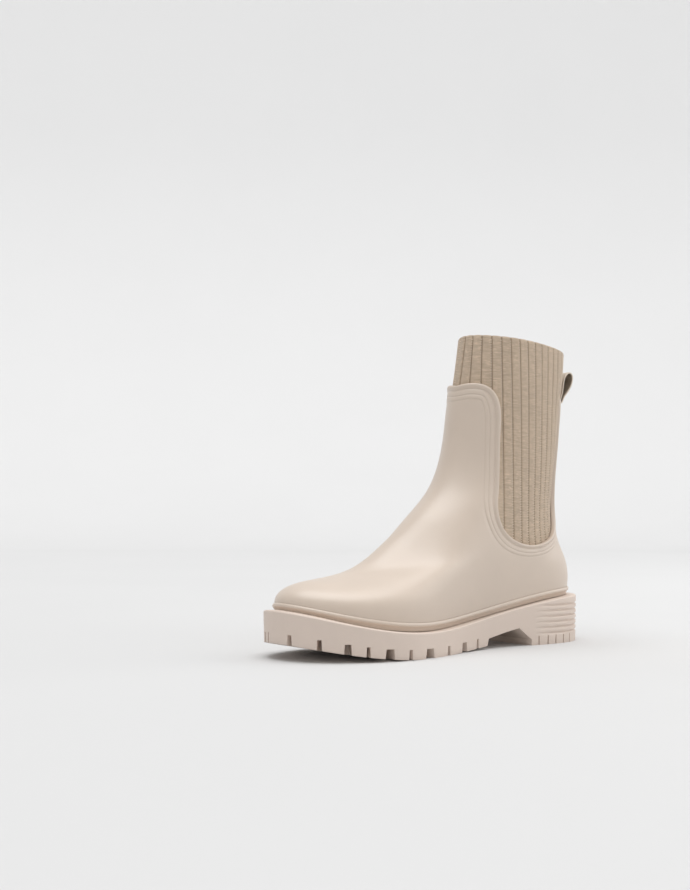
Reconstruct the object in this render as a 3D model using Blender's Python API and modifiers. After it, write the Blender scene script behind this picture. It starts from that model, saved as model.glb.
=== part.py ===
"""A left ankle boot of moulded rubber with a ribbed knit shaft, toe towards -Y, outer side towards +X."""
import math

import bmesh
import bpy
import numpy as np

# Driving sizes, in metres
SOLE_LENGTH = 0.280
BALL_WIDTH = 0.103
HEEL_LEDGE = 0.036
BOOT_HEIGHT = 0.238
RUBBER_WALL = 0.0022
KNIT_WALL = 0.0030
INSOLE_THICKNESS = 0.0030
CLEARANCE = 0.0003
KNIT_GAP = 0.0005

# Raised band that runs along the rubber's top edge
BAND_WIDTH = 0.012
BAND_RELIEF = 0.0006
BAND_STEP = 0.0009
BAND_STRIDE = 0.0012
STRIP_BAND_SHARE = 0.62

# Welt in its rebate at the foot of the upper
WELT_HEIGHT = 0.0048
WELT_PROUD = 0.0008
REBATE_DEPTH = 0.0012
REBATE_STEP = 0.0007

# Sole
SOLE_TAPER = 0.0012
TOE_SPRING = 0.012
SPRING_START_SHARE = 0.68
SPRING_CURVE = 1.8
HEEL_LIFT = 0.0045
TREAD_LIFT = 0.0026
TREAD_CURVE = 1.5
NOTCH_HEIGHT = 0.0068
NOTCH_DEPTH = 0.016
NOTCH_TOP_SHARE = 0.66
HEEL_NOTCH_WIDTH = 0.0016
HEEL_NOTCH_DEPTH = 0.006
GROOVE_COUNT = 6
GROOVE_START = 0.0086
GROOVE_PITCH = 0.0042
GROOVE_HEIGHT = 0.0014
GROOVE_DEPTH = 0.0010
GROOVE_END_SHARE = 0.325
GROOVE_FADE = (1.1, 1.4, 3)
SLOT_DEPTH = 0.0030
SLOT_WIDTH = 0.0040

# Pull loop of folded tape
TAPE_WIDTH = 0.019
TAPE_THICKNESS = 0.0013
LOOP_HEIGHT = 0.0175
LOOP_REACH = 0.0132
LOOP_STEPS = 20
TAPE_STEPS = 4

# Clear room beyond a wall, for cutters that start outside it
OUTSIDE = 0.006

# Steps round and along each piece
UPPER_STEPS = (10, 8, 19, 6, 3)
FOOT_ROWS = 8
SOLE_STEPS = 84
LEDGE_STEPS = 28
TREAD_STEPS = 4
SPRING_STEPS = 9
GROOVE_STEPS = 20
WELT_STEPS = 76
KNIT_STEPS = 72
KNIT_ROWS = 9
KNIT_INNER_ROWS = 5
INSOLE_STEPS = 30
INSOLE_TURNS = (0.06, 0.95)
BACK_STEPS = 60
BACK_TURN = 0.3
WHOLE_TURN = 2.0
SHARP_ANGLE = 35
JOIN_DISTANCE = 1e-6

# Sole outline: station along the length from the heel, then outer and inner half width over ball width
OUTLINE = [
    (0.00, 0.000, 0.000), (0.04, 0.245, 0.235), (0.10, 0.335, 0.325), (0.20, 0.355, 0.350),
    (0.34, 0.330, 0.295), (0.48, 0.375, 0.300), (0.60, 0.465, 0.385), (0.70, 0.520, 0.460),
    (0.80, 0.500, 0.480), (0.89, 0.400, 0.430), (0.96, 0.245, 0.320), (1.00, -0.050, 0.050),
]

# Top edge of the sole: station, height over heel ledge
LEDGE = [
    (0.00, 1.000), (0.15, 0.953), (0.35, 0.731), (0.55, 0.522), (0.70, 0.506), (0.85, 0.653), (1.00, 0.944),
]

# Underside from the heel breast to the flat of the forefoot: station, height over heel ledge
ARCH = [(0.297, 0.383), (0.353, 0.306), (0.412, 0.217)]
BREAST_SHARE = 0.252
TREAD_BACK_SHARE = 0.417
TREAD_FLAT_SHARE = 0.580

# Rings of the boot's outer form: level, back and front over sole length, rise of back and of front over
# the rise above the ledge, how much the ring follows the ledge, half widths over ball width at RING_SHARES
RING_SHARES = [0.10, 0.30, 0.50, 0.70, 0.88]
RINGS = [
    (0.00, 0.0250, 0.9750, 0.000, 0.000, 1.00, 0.265, 0.267, 0.286, 0.405, 0.359),
    (0.05, 0.0214, 0.9750, 0.050, 0.044, 0.85, 0.280, 0.286, 0.311, 0.422, 0.364),
    (0.10, 0.0232, 0.9530, 0.099, 0.077, 0.60, 0.284, 0.301, 0.325, 0.412, 0.335),
    (0.15, 0.0339, 0.9100, 0.148, 0.098, 0.38, 0.280, 0.313, 0.330, 0.374, 0.243),
    (0.20, 0.0510, 0.8460, 0.198, 0.106, 0.20, 0.267, 0.320, 0.330, 0.339, 0.189),
    (0.26, 0.0660, 0.7600, 0.257, 0.128, 0.10, 0.250, 0.318, 0.330, 0.315, 0.189),
    (0.33, 0.0725, 0.6640, 0.327, 0.198, 0.02, 0.233, 0.313, 0.328, 0.306, 0.199),
    (0.41, 0.0700, 0.5720, 0.406, 0.299, 0.00, 0.223, 0.309, 0.326, 0.304, 0.209),
    (0.50, 0.0640, 0.4940, 0.490, 0.401, 0.00, 0.218, 0.307, 0.326, 0.304, 0.212),
    (0.60, 0.0540, 0.4470, 0.584, 0.530, 0.00, 0.215, 0.306, 0.328, 0.306, 0.214),
    (0.75, 0.0425, 0.4230, 0.718, 0.703, 0.00, 0.215, 0.306, 0.330, 0.308, 0.215),
    (0.88, 0.0265, 0.4030, 0.842, 0.852, 0.00, 0.215, 0.305, 0.330, 0.308, 0.215),
    (1.00, 0.0195, 0.3850, 0.946, 1.000, 0.00, 0.215, 0.304, 0.328, 0.306, 0.214),
]

# Swing of a ring's centre line to the outer side over ball width, at the heel, RING_SHARES and the toe
SWING = [0.000, 0.003, 0.019, 0.034, 0.037, -0.015, -0.044]

# Level and how much of the swing it keeps
SWING_KEPT = [
    (0.00, 1.00), (0.10, 0.95), (0.20, 0.80), (0.26, 0.60), (0.33, 0.40), (0.41, 0.20), (0.50, 0.05),
    (0.60, 0.00), (1.00, 0.00),
]

# Top edge of the rubber on one side: turn round the boot (0 heel, 1 toe), rise above the ledge.
# It runs from the front of the panel over its corner, round the side opening and up the back strip.
TRIM = [
    (1.000, 0.800), (0.905, 0.807), (0.795, 0.799), (0.738, 0.772), (0.697, 0.716), (0.683, 0.615),
    (0.651, 0.482), (0.589, 0.369), (0.510, 0.279), (0.421, 0.221), (0.330, 0.197), (0.250, 0.215),
    (0.180, 0.262), (0.126, 0.347), (0.110, 0.494), (0.106, 0.663), (0.100, 0.748), (0.065, 0.787),
    (0.000, 0.797),
]
PANEL_CORNER, PANEL_FOOT, STRIP_FOOT, STRIP_CORNER = 3, 7, 13, 16

# Lower edge of the knit shaft behind the rubber: turn, rise above the ledge
KNIT_HEM = [
    (0.00, 0.238), (0.17, 0.178), (0.35, 0.129), (0.52, 0.188), (0.60, 0.267), (0.66, 0.347), (0.80, 0.455),
    (1.00, 0.495),
]

# Crowding of the upper's rows towards the toe and of the knit's rows towards its hem, where they bend most
FOOT_CROWD = 1.4
KNIT_CROWD = 1.5

# Notches between the lugs round the forefoot: turn, width over ball width. One more is inside only.
NOTCHES = [
    (0.938, 0.045), (0.854, 0.044), (0.788, 0.064), (0.745, 0.036), (0.700, 0.086), (0.655, 0.040),
    (0.608, 0.110), (0.556, 0.043), (0.510, 0.080), (0.473, 0.032),
]
INNER_NOTCH = (-0.968, 0.020)
HEEL_NOTCHES = [0.316, 0.290, 0.265, 0.236, 0.205]

# Slots across the tread: station, length over ball width
SLOTS = [
    (0.46, 0.18), (0.52, 0.22), (0.70, 0.42), (0.76, 0.42), (0.82, 0.38), (0.88, 0.28), (0.16, 0.30),
    (0.21, 0.30),
]

# Side view of the loop: reach back over its full reach, height over its full height from the strip's edge
LOOP = [
    (0.05, -0.38), (0.06, -0.16), (0.20, 0.08), (0.34, 0.40), (0.50, 0.76), (0.75, 1.00), (0.95, 0.94),
    (1.00, 0.70), (0.87, 0.41), (0.62, 0.13), (0.34, -0.12), (0.19, -0.38),
]

SKIN = (0.50, 0.41, 0.33)
SOLE_SKIN = (0.53, 0.42, 0.34)
KNIT = (0.40, 0.32, 0.24)
TAPE = (0.62, 0.53, 0.42)
LINING = (0.45, 0.38, 0.31)


def natural(knots, values):
    """Natural cubic spline through rows of values, as a function of an array."""
    x = np.asarray(knots, float)
    y = np.asarray(values, float)
    count = len(x)
    gap = np.diff(x)
    system = np.eye(count)
    right = np.zeros_like(y)
    for i in range(1, count - 1):
        system[i, i - 1:i + 2] = gap[i - 1], 2 * (gap[i - 1] + gap[i]), gap[i]
        right[i] = 6 * ((y[i + 1] - y[i]) / gap[i] - (y[i] - y[i - 1]) / gap[i - 1])
    bend = np.linalg.solve(system, right)

    def curve(q):
        q = np.asarray(q, float)
        k = np.clip(np.searchsorted(x, q) - 1, 0, count - 2)
        width = x[k + 1] - x[k]
        a = (x[k + 1] - q) / width
        b = (q - x[k]) / width
        spread = (slice(None),) * q.ndim + (None,) * (y.ndim - 1)
        line = a[spread] * y[k] + b[spread] * y[k + 1]
        sag = (a ** 3 - a)[spread] * bend[k] + (b ** 3 - b)[spread] * bend[k + 1]
        return line + sag * (width * width)[spread] / 6

    return curve


def turn_of(station):
    return np.arccos(1 - 2 * np.clip(station, 0, 1)) / math.pi


def station_of(turn):
    return (1 - np.cos(math.pi * turn)) / 2


OUTLINE_ROWS = np.array(OUTLINE)
LEDGE_ROWS = np.array(LEDGE)
RING_ROWS = np.array(RINGS)
KEPT_ROWS = np.array(SWING_KEPT)
RING_TURNS = turn_of(np.array([0.0] + RING_SHARES + [1.0]))
RISE = BOOT_HEIGHT - HEEL_LEDGE

outline_share = natural(turn_of(OUTLINE_ROWS[:, 0]), OUTLINE_ROWS[:, 1:])
ledge_share = natural(LEDGE_ROWS[:, 0], LEDGE_ROWS[:, 1])
ring_shares = natural(RING_ROWS[:, 0], RING_ROWS[:, 1:])
ring_weights = natural(RING_TURNS, np.eye(len(RING_TURNS)))
swing_share = natural(RING_TURNS, SWING)
swing_kept = natural(KEPT_ROWS[:, 0], KEPT_ROWS[:, 1])


def at(x, station, z):
    """Points from the side offset, the station along the sole and the height."""
    x, station, z = np.broadcast_arrays(x, station, z)
    return np.stack([x, SOLE_LENGTH * (0.5 - station), z], -1)


def ledge(station):
    return HEEL_LEDGE * ledge_share(station)


def ledge_under(points):
    return ledge(0.5 - points[..., 1] / SOLE_LENGTH)


def form(w, v):
    """Outer form of the boot. w goes round: 0 heel, 1 toe by the outer side, -1 toe by the inner one."""
    w, v = np.broadcast_arrays(np.asarray(w, float), np.asarray(v, float))
    shape = w.shape
    w = (w.ravel() + 1) % 2 - 1
    v = v.ravel()
    turn = np.abs(w)
    share = station_of(turn)
    row = ring_shares(v)
    back, front, back_rise, front_rise, follow = row[:, :5].T
    edge = np.zeros((len(v), 1))
    half = (ring_weights(turn) * np.hstack([edge, row[:, 5:], edge])).sum(1)
    station = back + (front - back) * share
    x = BALL_WIDTH * (np.sign(w) * half + swing_share(turn) * swing_kept(v))
    lift = RISE * (back_rise + (front_rise - back_rise) * share)
    z = HEEL_LEDGE + follow * (ledge(station) - HEEL_LEDGE) + lift
    return at(x, station, z).reshape(shape + (3,))


def slopes(w, v):
    """How the form moves with w and with v."""
    step = 1e-4
    low = np.maximum(v - step, 0)
    along = (form(w + step, v) - form(w - step, v)) / (2 * step)
    up = (form(w, v + step) - form(w, low)) / (v + step - low)[..., None]
    return along, up


def unit(vectors):
    return vectors / np.linalg.norm(vectors, axis=-1, keepdims=True)


def skin(w, v, offset):
    """The form moved outwards by an offset."""
    along, up = slopes(w, v)
    return form(w, v) + unit(np.cross(up, along)) * np.asarray(offset)[..., None]


def solve_level(w, height_of, target):
    """Level v at which height_of(point) reaches the target."""
    low = np.zeros(np.shape(w))
    high = np.ones(np.shape(w))
    for _ in range(40):
        middle = (low + high) / 2
        below = height_of(form(w, middle)) < target
        low = np.where(below, middle, low)
        high = np.where(below, high, middle)
    return (low + high) / 2


def level_at_rise(w, rise):
    return solve_level(w, lambda p: p[..., 2], HEEL_LEDGE + RISE * np.asarray(rise))


def level_over_ledge(w, height):
    return solve_level(w, lambda p: p[..., 2] - ledge_under(p), height)


def spaced(start, end, count):
    return np.linspace(start, end, count + 1)


def trim_line(counts):
    """The rubber's top edge as w and v, closed, with the chosen number of steps in each stretch."""
    rows = np.array(TRIM)
    length = np.r_[0, np.cumsum(np.hypot(*(np.diff(rows, axis=0) * (1.0, 2.0)).T))]
    curve = natural(length, rows)
    stops = [0, PANEL_CORNER, PANEL_FOOT, STRIP_FOOT, STRIP_CORNER, len(rows) - 1]
    places = [0.0]
    for a, b, count in zip(stops, stops[1:], counts):
        places.extend(spaced(length[a], length[b], count)[1:])
    half = curve(np.array(places))
    turn = np.r_[half[:, 0], -half[-2:0:-1, 0]]
    rise = np.r_[half[:, 1], half[-2:0:-1, 1]]
    return turn, level_at_rise(turn, rise)


def band_share(counts):
    """How much of the band's width each column keeps: less on the narrow back strip."""
    panel, side, gore, strip, top = counts
    ease = (1 - np.cos(spaced(0, math.pi, gore))) / 2
    half = np.r_[np.ones(panel + side), 1 - (1 - STRIP_BAND_SHARE) * ease,
                 np.full(strip + top, STRIP_BAND_SHARE)]
    return np.r_[half, half[-2:0:-1]]


def step_across(w, v, distance):
    """Move a closed line on the form square to itself, away from the opening."""
    along, up = slopes(w, v)
    points = form(w, v)
    tangent = unit(np.roll(points, -1, 0) - np.roll(points, 1, 0))
    across = unit(np.cross(tangent, unit(np.cross(up, along))))
    aa = (along * along).sum(-1)
    au = (along * up).sum(-1)
    uu = (up * up).sum(-1)
    pa = (across * along).sum(-1)
    pu = (across * up).sum(-1)
    det = aa * uu - au * au
    return w + distance * (pa * uu - pu * au) / det, v + distance * (pu * aa - pa * au) / det


def band_rows(counts, distances, stride):
    """Lines beside the rubber's edge, each at its distance from it."""
    w, v = trim_line(counts)
    share = band_share(counts)
    rows = [(w, v)]
    done = distances[0]
    for distance in distances[1:]:
        steps = max(1, math.ceil((distance - done) / stride))
        for _ in range(steps):
            w, v = step_across(w, v, share * (distance - done) / steps)
        done = distance
        rows.append((w, v))
    return rows


def coons(left, right, bottom, top):
    """Grid of w and v inside four edges: left and right run up, bottom and top run across."""
    a = spaced(0, 1, len(bottom) - 1)[None, :, None]
    b = spaced(0, 1, len(left) - 1)[:, None, None]
    sides = left[:, None] * (1 - a) + right[:, None] * a
    ends = bottom[None] * (1 - b) + top[None] * b
    low = bottom[0] * (1 - a) + bottom[-1] * a
    high = top[0] * (1 - a) + top[-1] * a
    return sides + ends - (low * (1 - b) + high * b)


def add_grid(mesh, points, closed):
    """Faces over a grid of points that face away from the boot's inside."""
    rows, columns = points.shape[:2]
    verts = [[mesh.verts.new(p) for p in row] for row in points]
    for i in range(rows - 1):
        for j in range(columns if closed else columns - 1):
            k = (j + 1) % columns
            mesh.faces.new((verts[i][j], verts[i][k], verts[i + 1][k], verts[i + 1][j]))


def upper_surface(counts, foot_rows, distances, relief):
    """Open outer surface of the rubber: edge band, front panel, back strip and foot."""
    panel, side, gore, strip, top = counts
    rows = band_rows(counts, distances, BAND_STRIDE)
    w = np.array([r[0] for r in rows])
    v = np.array([r[1] for r in rows])
    mesh = bmesh.new()
    add_grid(mesh, skin(w, v, np.array(relief)[:, None] + 0 * w)[::-1], True)
    count = w.shape[1]
    edge = np.stack([w[-1], v[-1]], -1)

    corner = panel
    foot = corner + side
    strip_foot = foot + gore
    strip_corner = strip_foot + strip
    mirror = count - np.arange(count + 1)

    # Front panel, with w counted on past 1 on the inner side
    inner = edge + (WHOLE_TURN, 0.0)
    left = edge[corner:foot + 1][::-1]
    right = inner[mirror[corner:foot + 1]][::-1]
    across = np.r_[edge[:corner + 1][::-1], inner[mirror[1:corner + 1]]]
    bottom = np.linspace(left[0], right[0], len(across))
    block = coons(left, right, bottom, across)
    add_grid(mesh, skin(block[..., 0], block[..., 1], np.zeros(block.shape[:2]))[:, ::-1], False)
    front_line = bottom

    # Back strip
    left = edge[strip_foot:strip_corner + 1]
    right = edge[mirror[strip_foot:strip_corner + 1]]
    across = edge[strip_corner:mirror[strip_corner] + 1]
    bottom = np.linspace(left[0], right[0], len(across))
    block = coons(left, right, bottom, across)
    add_grid(mesh, skin(block[..., 0], block[..., 1], np.zeros(block.shape[:2])), False)

    # Foot, from the panel, the side openings and the strip down to the sole
    half = (len(front_line) - 1) // 2
    line = np.r_[front_line[half::-1], edge[foot + 1:strip_foot], bottom,
                 edge[mirror[strip_foot - 1:foot:-1]], front_line[:half:-1] - (WHOLE_TURN, 0.0)]
    step_top = WELT_HEIGHT + 2 * CLEARANCE + REBATE_STEP
    last = level_over_ledge(line[:, 0], step_top)
    fall = spaced(1, 0, foot_rows)[:, None] ** FOOT_CROWD
    v_rows = last + (line[:, 1] - last) * fall
    heights = [WELT_HEIGHT + 2 * CLEARANCE, WELT_HEIGHT / 2, CLEARANCE]
    v_rows = np.vstack([v_rows] + [level_over_ledge(line[:, 0], h)[None] for h in heights])
    offset = np.r_[np.zeros(foot_rows + 1), np.full(len(heights), -REBATE_DEPTH)]
    w_rows = np.broadcast_to(line[:, 0], v_rows.shape)
    add_grid(mesh, skin(w_rows, v_rows, offset[:, None] + 0 * w_rows)[::-1], True)
    bmesh.ops.remove_doubles(mesh, verts=mesh.verts, dist=JOIN_DISTANCE)
    return mesh


def finish(name, mesh, color, roughness, collection):
    """Turn a bmesh into an object with its own material."""
    data = bpy.data.meshes.new(name)
    mesh.to_mesh(data)
    mesh.free()
    data.shade_smooth()
    data.set_sharp_from_angle(angle=math.radians(SHARP_ANGLE))
    body = bpy.data.objects.new(name, data)
    collection.objects.link(body)
    if color is None:
        body.hide_render = True
        body.display_type = 'WIRE'
        return body
    material = bpy.data.materials.new(name)
    material.use_nodes = True
    shader = material.node_tree.nodes["Principled BSDF"]
    shader.inputs["Base Color"].default_value = (*color, 1.0)
    shader.inputs["Roughness"].default_value = roughness
    shader.inputs["Metallic"].default_value = 0.0
    data.materials.append(material)
    return body


def loft(sections, round_trip):
    """Closed solid through a run of closed sections: a ring if it returns to its start, else with caps."""
    mesh = bmesh.new()
    rows = [[mesh.verts.new(p) for p in section] for section in sections]
    count = len(rows[0])
    for i in range(len(rows) if round_trip else len(rows) - 1):
        here = rows[i]
        after = rows[(i + 1) % len(rows)]
        for j in range(count):
            k = (j + 1) % count
            mesh.faces.new((here[j], here[k], after[k], after[j]))
    if not round_trip:
        mesh.faces.new(rows[0][::-1])
        mesh.faces.new(rows[-1])
    bmesh.ops.recalc_face_normals(mesh, faces=mesh.faces)
    return mesh


def cut(body, cutter, operation='DIFFERENCE'):
    modifier = body.modifiers.new(cutter.name, 'BOOLEAN')
    modifier.operation = operation
    modifier.solver = 'EXACT'
    modifier.object = cutter


def sole_edge(w, inset):
    """Plan of the sole: x and y round the outline, moved in by an inset."""
    w = (np.asarray(w, float) + 1) % 2 - 1

    def plan(q):
        share = outline_share(np.abs(q))
        half = np.where(q >= 0, share[..., 0], -share[..., 1])
        return np.stack([BALL_WIDTH * half, SOLE_LENGTH * (0.5 - station_of(np.abs(q)))], -1)

    step = 1e-4
    along = plan(np.clip(w + step, -1, 1)) - plan(np.clip(w - step, -1, 1))
    outward = unit(np.stack([-along[..., 1], along[..., 0]], -1))
    return plan(w) - outward * np.asarray(inset)[..., None], outward


def tread(station):
    """Height of the forefoot's tread above the floor."""
    back = np.clip((TREAD_FLAT_SHARE - station) / (TREAD_FLAT_SHARE - TREAD_BACK_SHARE), 0, 1)
    spring = np.clip((station - SPRING_START_SHARE) / (1 - SPRING_START_SHARE), 0, None)
    return TREAD_LIFT * back ** TREAD_CURVE + TOE_SPRING * spring ** SPRING_CURVE


def floor_at(station):
    """Height of the sole's own underside at a lug."""
    return float(tread(station)) if station > TREAD_BACK_SHARE else 0.0


def make_outsole(parts, cutters):
    around = spaced(-1, 1, SOLE_STEPS)[:-1]
    depth = HEEL_LEDGE + OUTSIDE
    sections = []
    for z, inset in ((-OUTSIDE, SOLE_TAPER), (depth, 0.0)):
        flat, _ = sole_edge(around, np.full(around.shape, inset))
        sections.append(np.column_stack([flat, np.full(len(flat), z)]))
    body = finish("outsole", loft(sections, False), SOLE_SKIN, 0.55, parts)

    # Side view of the sole, drawn across its whole width
    over = OUTSIDE / SOLE_LENGTH
    profile = [(-over, 0.0), (BREAST_SHARE, 0.0), (BREAST_SHARE, HEEL_LIFT)]
    profile += [(s, HEEL_LEDGE * h) for s, h in ARCH]
    profile += [(s, float(tread(s))) for s in spaced(TREAD_BACK_SHARE, TREAD_FLAT_SHARE, TREAD_STEPS)]
    profile += [(s, float(tread(s))) for s in spaced(SPRING_START_SHARE, 1 + over, SPRING_STEPS)]
    profile += [(s, float(ledge(s))) for s in spaced(1 + over, -over, LEDGE_STEPS)]
    stations = np.array([p[0] for p in profile])
    heights = np.array([p[1] for p in profile])
    sides = [at(x, stations, heights) for x in (-BALL_WIDTH, BALL_WIDTH)]
    cut(body, finish("sole_side_view", loft(sides, False), None, 0, cutters), 'INTERSECT')

    # Notches between the lugs, square to the edge, and thin ones round the heel
    blocks = bmesh.new()
    for turn, width in NOTCHES + [(-t, share) for t, share in NOTCHES] + [INNER_NOTCH]:
        add_notch(blocks, turn, BALL_WIDTH * width, NOTCH_DEPTH, NOTCH_HEIGHT)
    for turn in HEEL_NOTCHES + [-t for t in HEEL_NOTCHES]:
        add_notch(blocks, turn, HEEL_NOTCH_WIDTH, HEEL_NOTCH_DEPTH, NOTCH_HEIGHT)
    for station, length in SLOTS:
        middle = at(0.0, station, floor_at(station))
        add_block(blocks, middle, (1, 0), length * BALL_WIDTH, SLOT_WIDTH, SLOT_DEPTH)
    cut(body, finish("sole_notches", blocks, None, 0, cutters))

    # Grooves round the side of the heel, fading out towards the arch
    comb = bmesh.new()
    full, drop, power = GROOVE_FADE
    for index in range(GROOVE_COUNT):
        z = GROOVE_START + index * GROOVE_PITCH
        w = spaced(-GROOVE_END_SHARE, GROOVE_END_SHARE, GROOVE_STEPS)
        fade = full - drop * np.abs(w / GROOVE_END_SHARE) ** power
        inner, _ = sole_edge(w, GROOVE_DEPTH * fade + SOLE_TAPER * (1 - z / HEEL_LEDGE))
        outer, _ = sole_edge(w, np.full(w.shape, -OUTSIDE))
        half = GROOVE_HEIGHT / 2
        sections = []
        for a, b in zip(inner, outer):
            sections.append([(*a, z - half / 2), (*b, z - half), (*b, z + half), (*a, z + half / 2)])
        join_into(comb, loft(np.array(sections), False))
    cut(body, finish("heel_grooves", comb, None, 0, cutters))
    return body


def join_into(target, other):
    """Copy a mesh into another."""
    copies = {v: target.verts.new(v.co) for v in other.verts}
    for face in other.faces:
        target.faces.new([copies[v] for v in face.verts])
    other.free()


def add_block(target, middle, direction, length, width, height):
    """A block centred below a point of the tread, narrower at its top, its length along a direction."""
    block = bmesh.new()
    bmesh.ops.create_cube(block, size=1)
    cos, sin = direction
    for vert in block.verts:
        a = vert.co.x * length
        b = vert.co.y * width * (NOTCH_TOP_SHARE if vert.co.z > 0 else 1)
        z = height if vert.co.z > 0 else -OUTSIDE
        vert.co = (middle[0] + a * cos - b * sin, middle[1] + a * sin + b * cos, middle[2] + z)
    join_into(target, block)


def add_notch(target, w, width, depth, height):
    edge, outward = sole_edge(w, 0.0)
    reach = depth + OUTSIDE
    centre = edge + outward * (OUTSIDE - reach / 2)
    add_block(target, (*centre, floor_at(station_of(abs(w)))), outward, reach, width, height)


def make_welt(parts):
    """Strip that lies in the upper's rebate on the sole's ledge."""
    inner = CLEARANCE - REBATE_DEPTH
    bevel = WELT_PROUD / 2
    section = [
        (inner, CLEARANCE), (WELT_PROUD, CLEARANCE), (WELT_PROUD, WELT_HEIGHT - bevel),
        (WELT_PROUD - bevel, WELT_HEIGHT), (inner, WELT_HEIGHT),
    ]
    w = spaced(-1, 1, WELT_STEPS)[:-1]
    rows = []
    for offset, height in section:
        points = skin(w, level_over_ledge(w, height), np.full(w.shape, offset))
        points[:, 2] = ledge_under(points) + height
        rows.append(points)
    return finish("welt", loft(np.stack(rows, 1), True), SOLE_SKIN, 0.5, parts)


def make_upper(parts):
    distances = [0.0, BAND_WIDTH / 2, BAND_WIDTH, BAND_WIDTH + BAND_STEP]
    relief = [BAND_RELIEF, BAND_RELIEF, BAND_RELIEF, 0.0]
    mesh = upper_surface(UPPER_STEPS, FOOT_ROWS, distances, relief)
    body = finish("upper", mesh, SKIN, 0.5, parts)
    shell = body.modifiers.new("wall", 'SOLIDIFY')
    shell.thickness = RUBBER_WALL
    shell.offset = -1
    return body


def make_knit_shaft(parts):
    """Knit tube inside the rubber, its collar folded over."""
    w = spaced(-1, 1, KNIT_STEPS)[:-1]
    hem_rows = np.array(KNIT_HEM)
    hem = level_at_rise(w, natural(hem_rows[:, 0], hem_rows[:, 1])(np.abs(w)))
    outer = -(RUBBER_WALL + KNIT_GAP)
    radius = KNIT_WALL / 2
    fold = radius / RISE
    section = []
    for share in spaced(0, 1, KNIT_ROWS):
        section.append((hem + (1 - fold - hem) * share ** KNIT_CROWD, outer))
    for angle in (45, 90, 135):
        level = 1 - fold + fold * math.sin(math.radians(angle))
        section.append((np.full(w.shape, level), outer - radius + radius * math.cos(math.radians(angle))))
    for share in spaced(1, 0, KNIT_INNER_ROWS):
        section.append((hem + (1 - fold - hem) * share ** KNIT_CROWD, outer - KNIT_WALL))
    rows = [skin(w, v, np.full(w.shape, offset)) for v, offset in section]
    return finish("knit_shaft", loft(np.stack(rows, 1), True), KNIT, 0.95, parts)


def make_insole(parts):
    """Footbed inside the upper's wall, resting on the sole."""
    inset = -(REBATE_DEPTH + RUBBER_WALL + CLEARANCE)
    sections = []
    for turn in spaced(*INSOLE_TURNS, INSOLE_STEPS):
        pair = np.array([turn, -turn])
        edge = skin(pair, level_over_ledge(pair, CLEARANCE), np.full(2, inset))
        edge[:, 2] = ledge_under(edge) + CLEARANCE
        a, b = edge
        above, over = edge + (0, 0, INSOLE_THICKNESS)
        sections.append([a, b, over, above])
    return finish("insole", loft(np.array(sections), False), LINING, 0.9, parts)


def back_line(z):
    """Back of the form at a height, as y over x."""
    ring = spaced(-BACK_TURN, BACK_TURN, BACK_STEPS)
    points = form(ring, solve_level(ring, lambda p: p[..., 2], z))
    return natural(points[:, 0], points[:, 1])


def make_pull_loop(parts):
    """Tape loop that stands on the back strip, bent to the strip's round back at its root."""
    rows = np.array(LOOP)
    count = len(rows)
    wrapped = np.vstack([rows[-3:], rows, rows[:3]])
    path = natural(np.arange(-3, count + 3), wrapped)(spaced(0, count, LOOP_STEPS)[:-1])
    reach = path[:, 0] * LOOP_REACH
    height = path[:, 1] * LOOP_HEIGHT
    ahead = np.roll(np.stack([reach, height], -1), -1, 0) - np.roll(np.stack([reach, height], -1), 1, 0)
    side = unit(np.stack([ahead[:, 1], -ahead[:, 0]], -1)) * TAPE_THICKNESS / 2
    top_z = HEEL_LEDGE + RISE * TRIM[-1][1]
    root_z = top_z + LOOP_HEIGHT * rows[:, 1].min()
    across = spaced(-0.5, 0.5, TAPE_STEPS) * TAPE_WIDTH
    top_line = back_line(top_z)(across)
    root_line = back_line(root_z)(across)
    sections = []
    for (a, b), (c, d) in zip(np.stack([reach, height], -1), side):
        up = min(max(b / LOOP_HEIGHT, 0.0), 1.0)
        down = min(max(b / (root_z - top_z), 0.0), 1.0)
        y = top_line + (top_line.max() - top_line) * up + (root_line - top_line) * down
        y = y + BAND_RELIEF + 2 * CLEARANCE
        outer = [(x, q + a + c, top_z + b + d) for x, q in zip(across, y)]
        inner = [(x, q + a - c, top_z + b - d) for x, q in zip(across, y)]
        sections.append(outer + inner[::-1])
    return finish("pull_loop", loft(np.array(sections), True), TAPE, 0.9, parts)


def main():
    for old in list(bpy.data.objects):
        bpy.data.objects.remove(old)
    parts = bpy.data.collections.new("rubber_boot")
    cutters = bpy.data.collections.new("cutters")
    bpy.context.scene.collection.children.link(parts)
    bpy.context.scene.collection.children.link(cutters)
    root = bpy.data.objects.new("boot", None)
    parts.objects.link(root)
    pieces = [make_outsole(parts, cutters), make_welt(parts), make_upper(parts), make_knit_shaft(parts),
              make_insole(parts), make_pull_loop(parts)]

    # The boot stands over the middle of its own box
    bpy.context.view_layer.update()
    graph = bpy.context.evaluated_depsgraph_get()
    corners = np.array([c for piece in pieces for c in piece.evaluated_get(graph).bound_box])
    middle = (corners.min(0) + corners.max(0)) / 2
    root.location = (-middle[0], -middle[1], 0.0)
    for piece in pieces:
        piece.parent = root
    for cutter in cutters.objects:
        cutter.parent = root


main()
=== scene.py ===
"""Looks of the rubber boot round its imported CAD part: smooth rubber, ribbed knit shaft, lugged sole."""

import math

import bmesh
import bpy
import numpy as np
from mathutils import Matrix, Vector, kdtree


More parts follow.
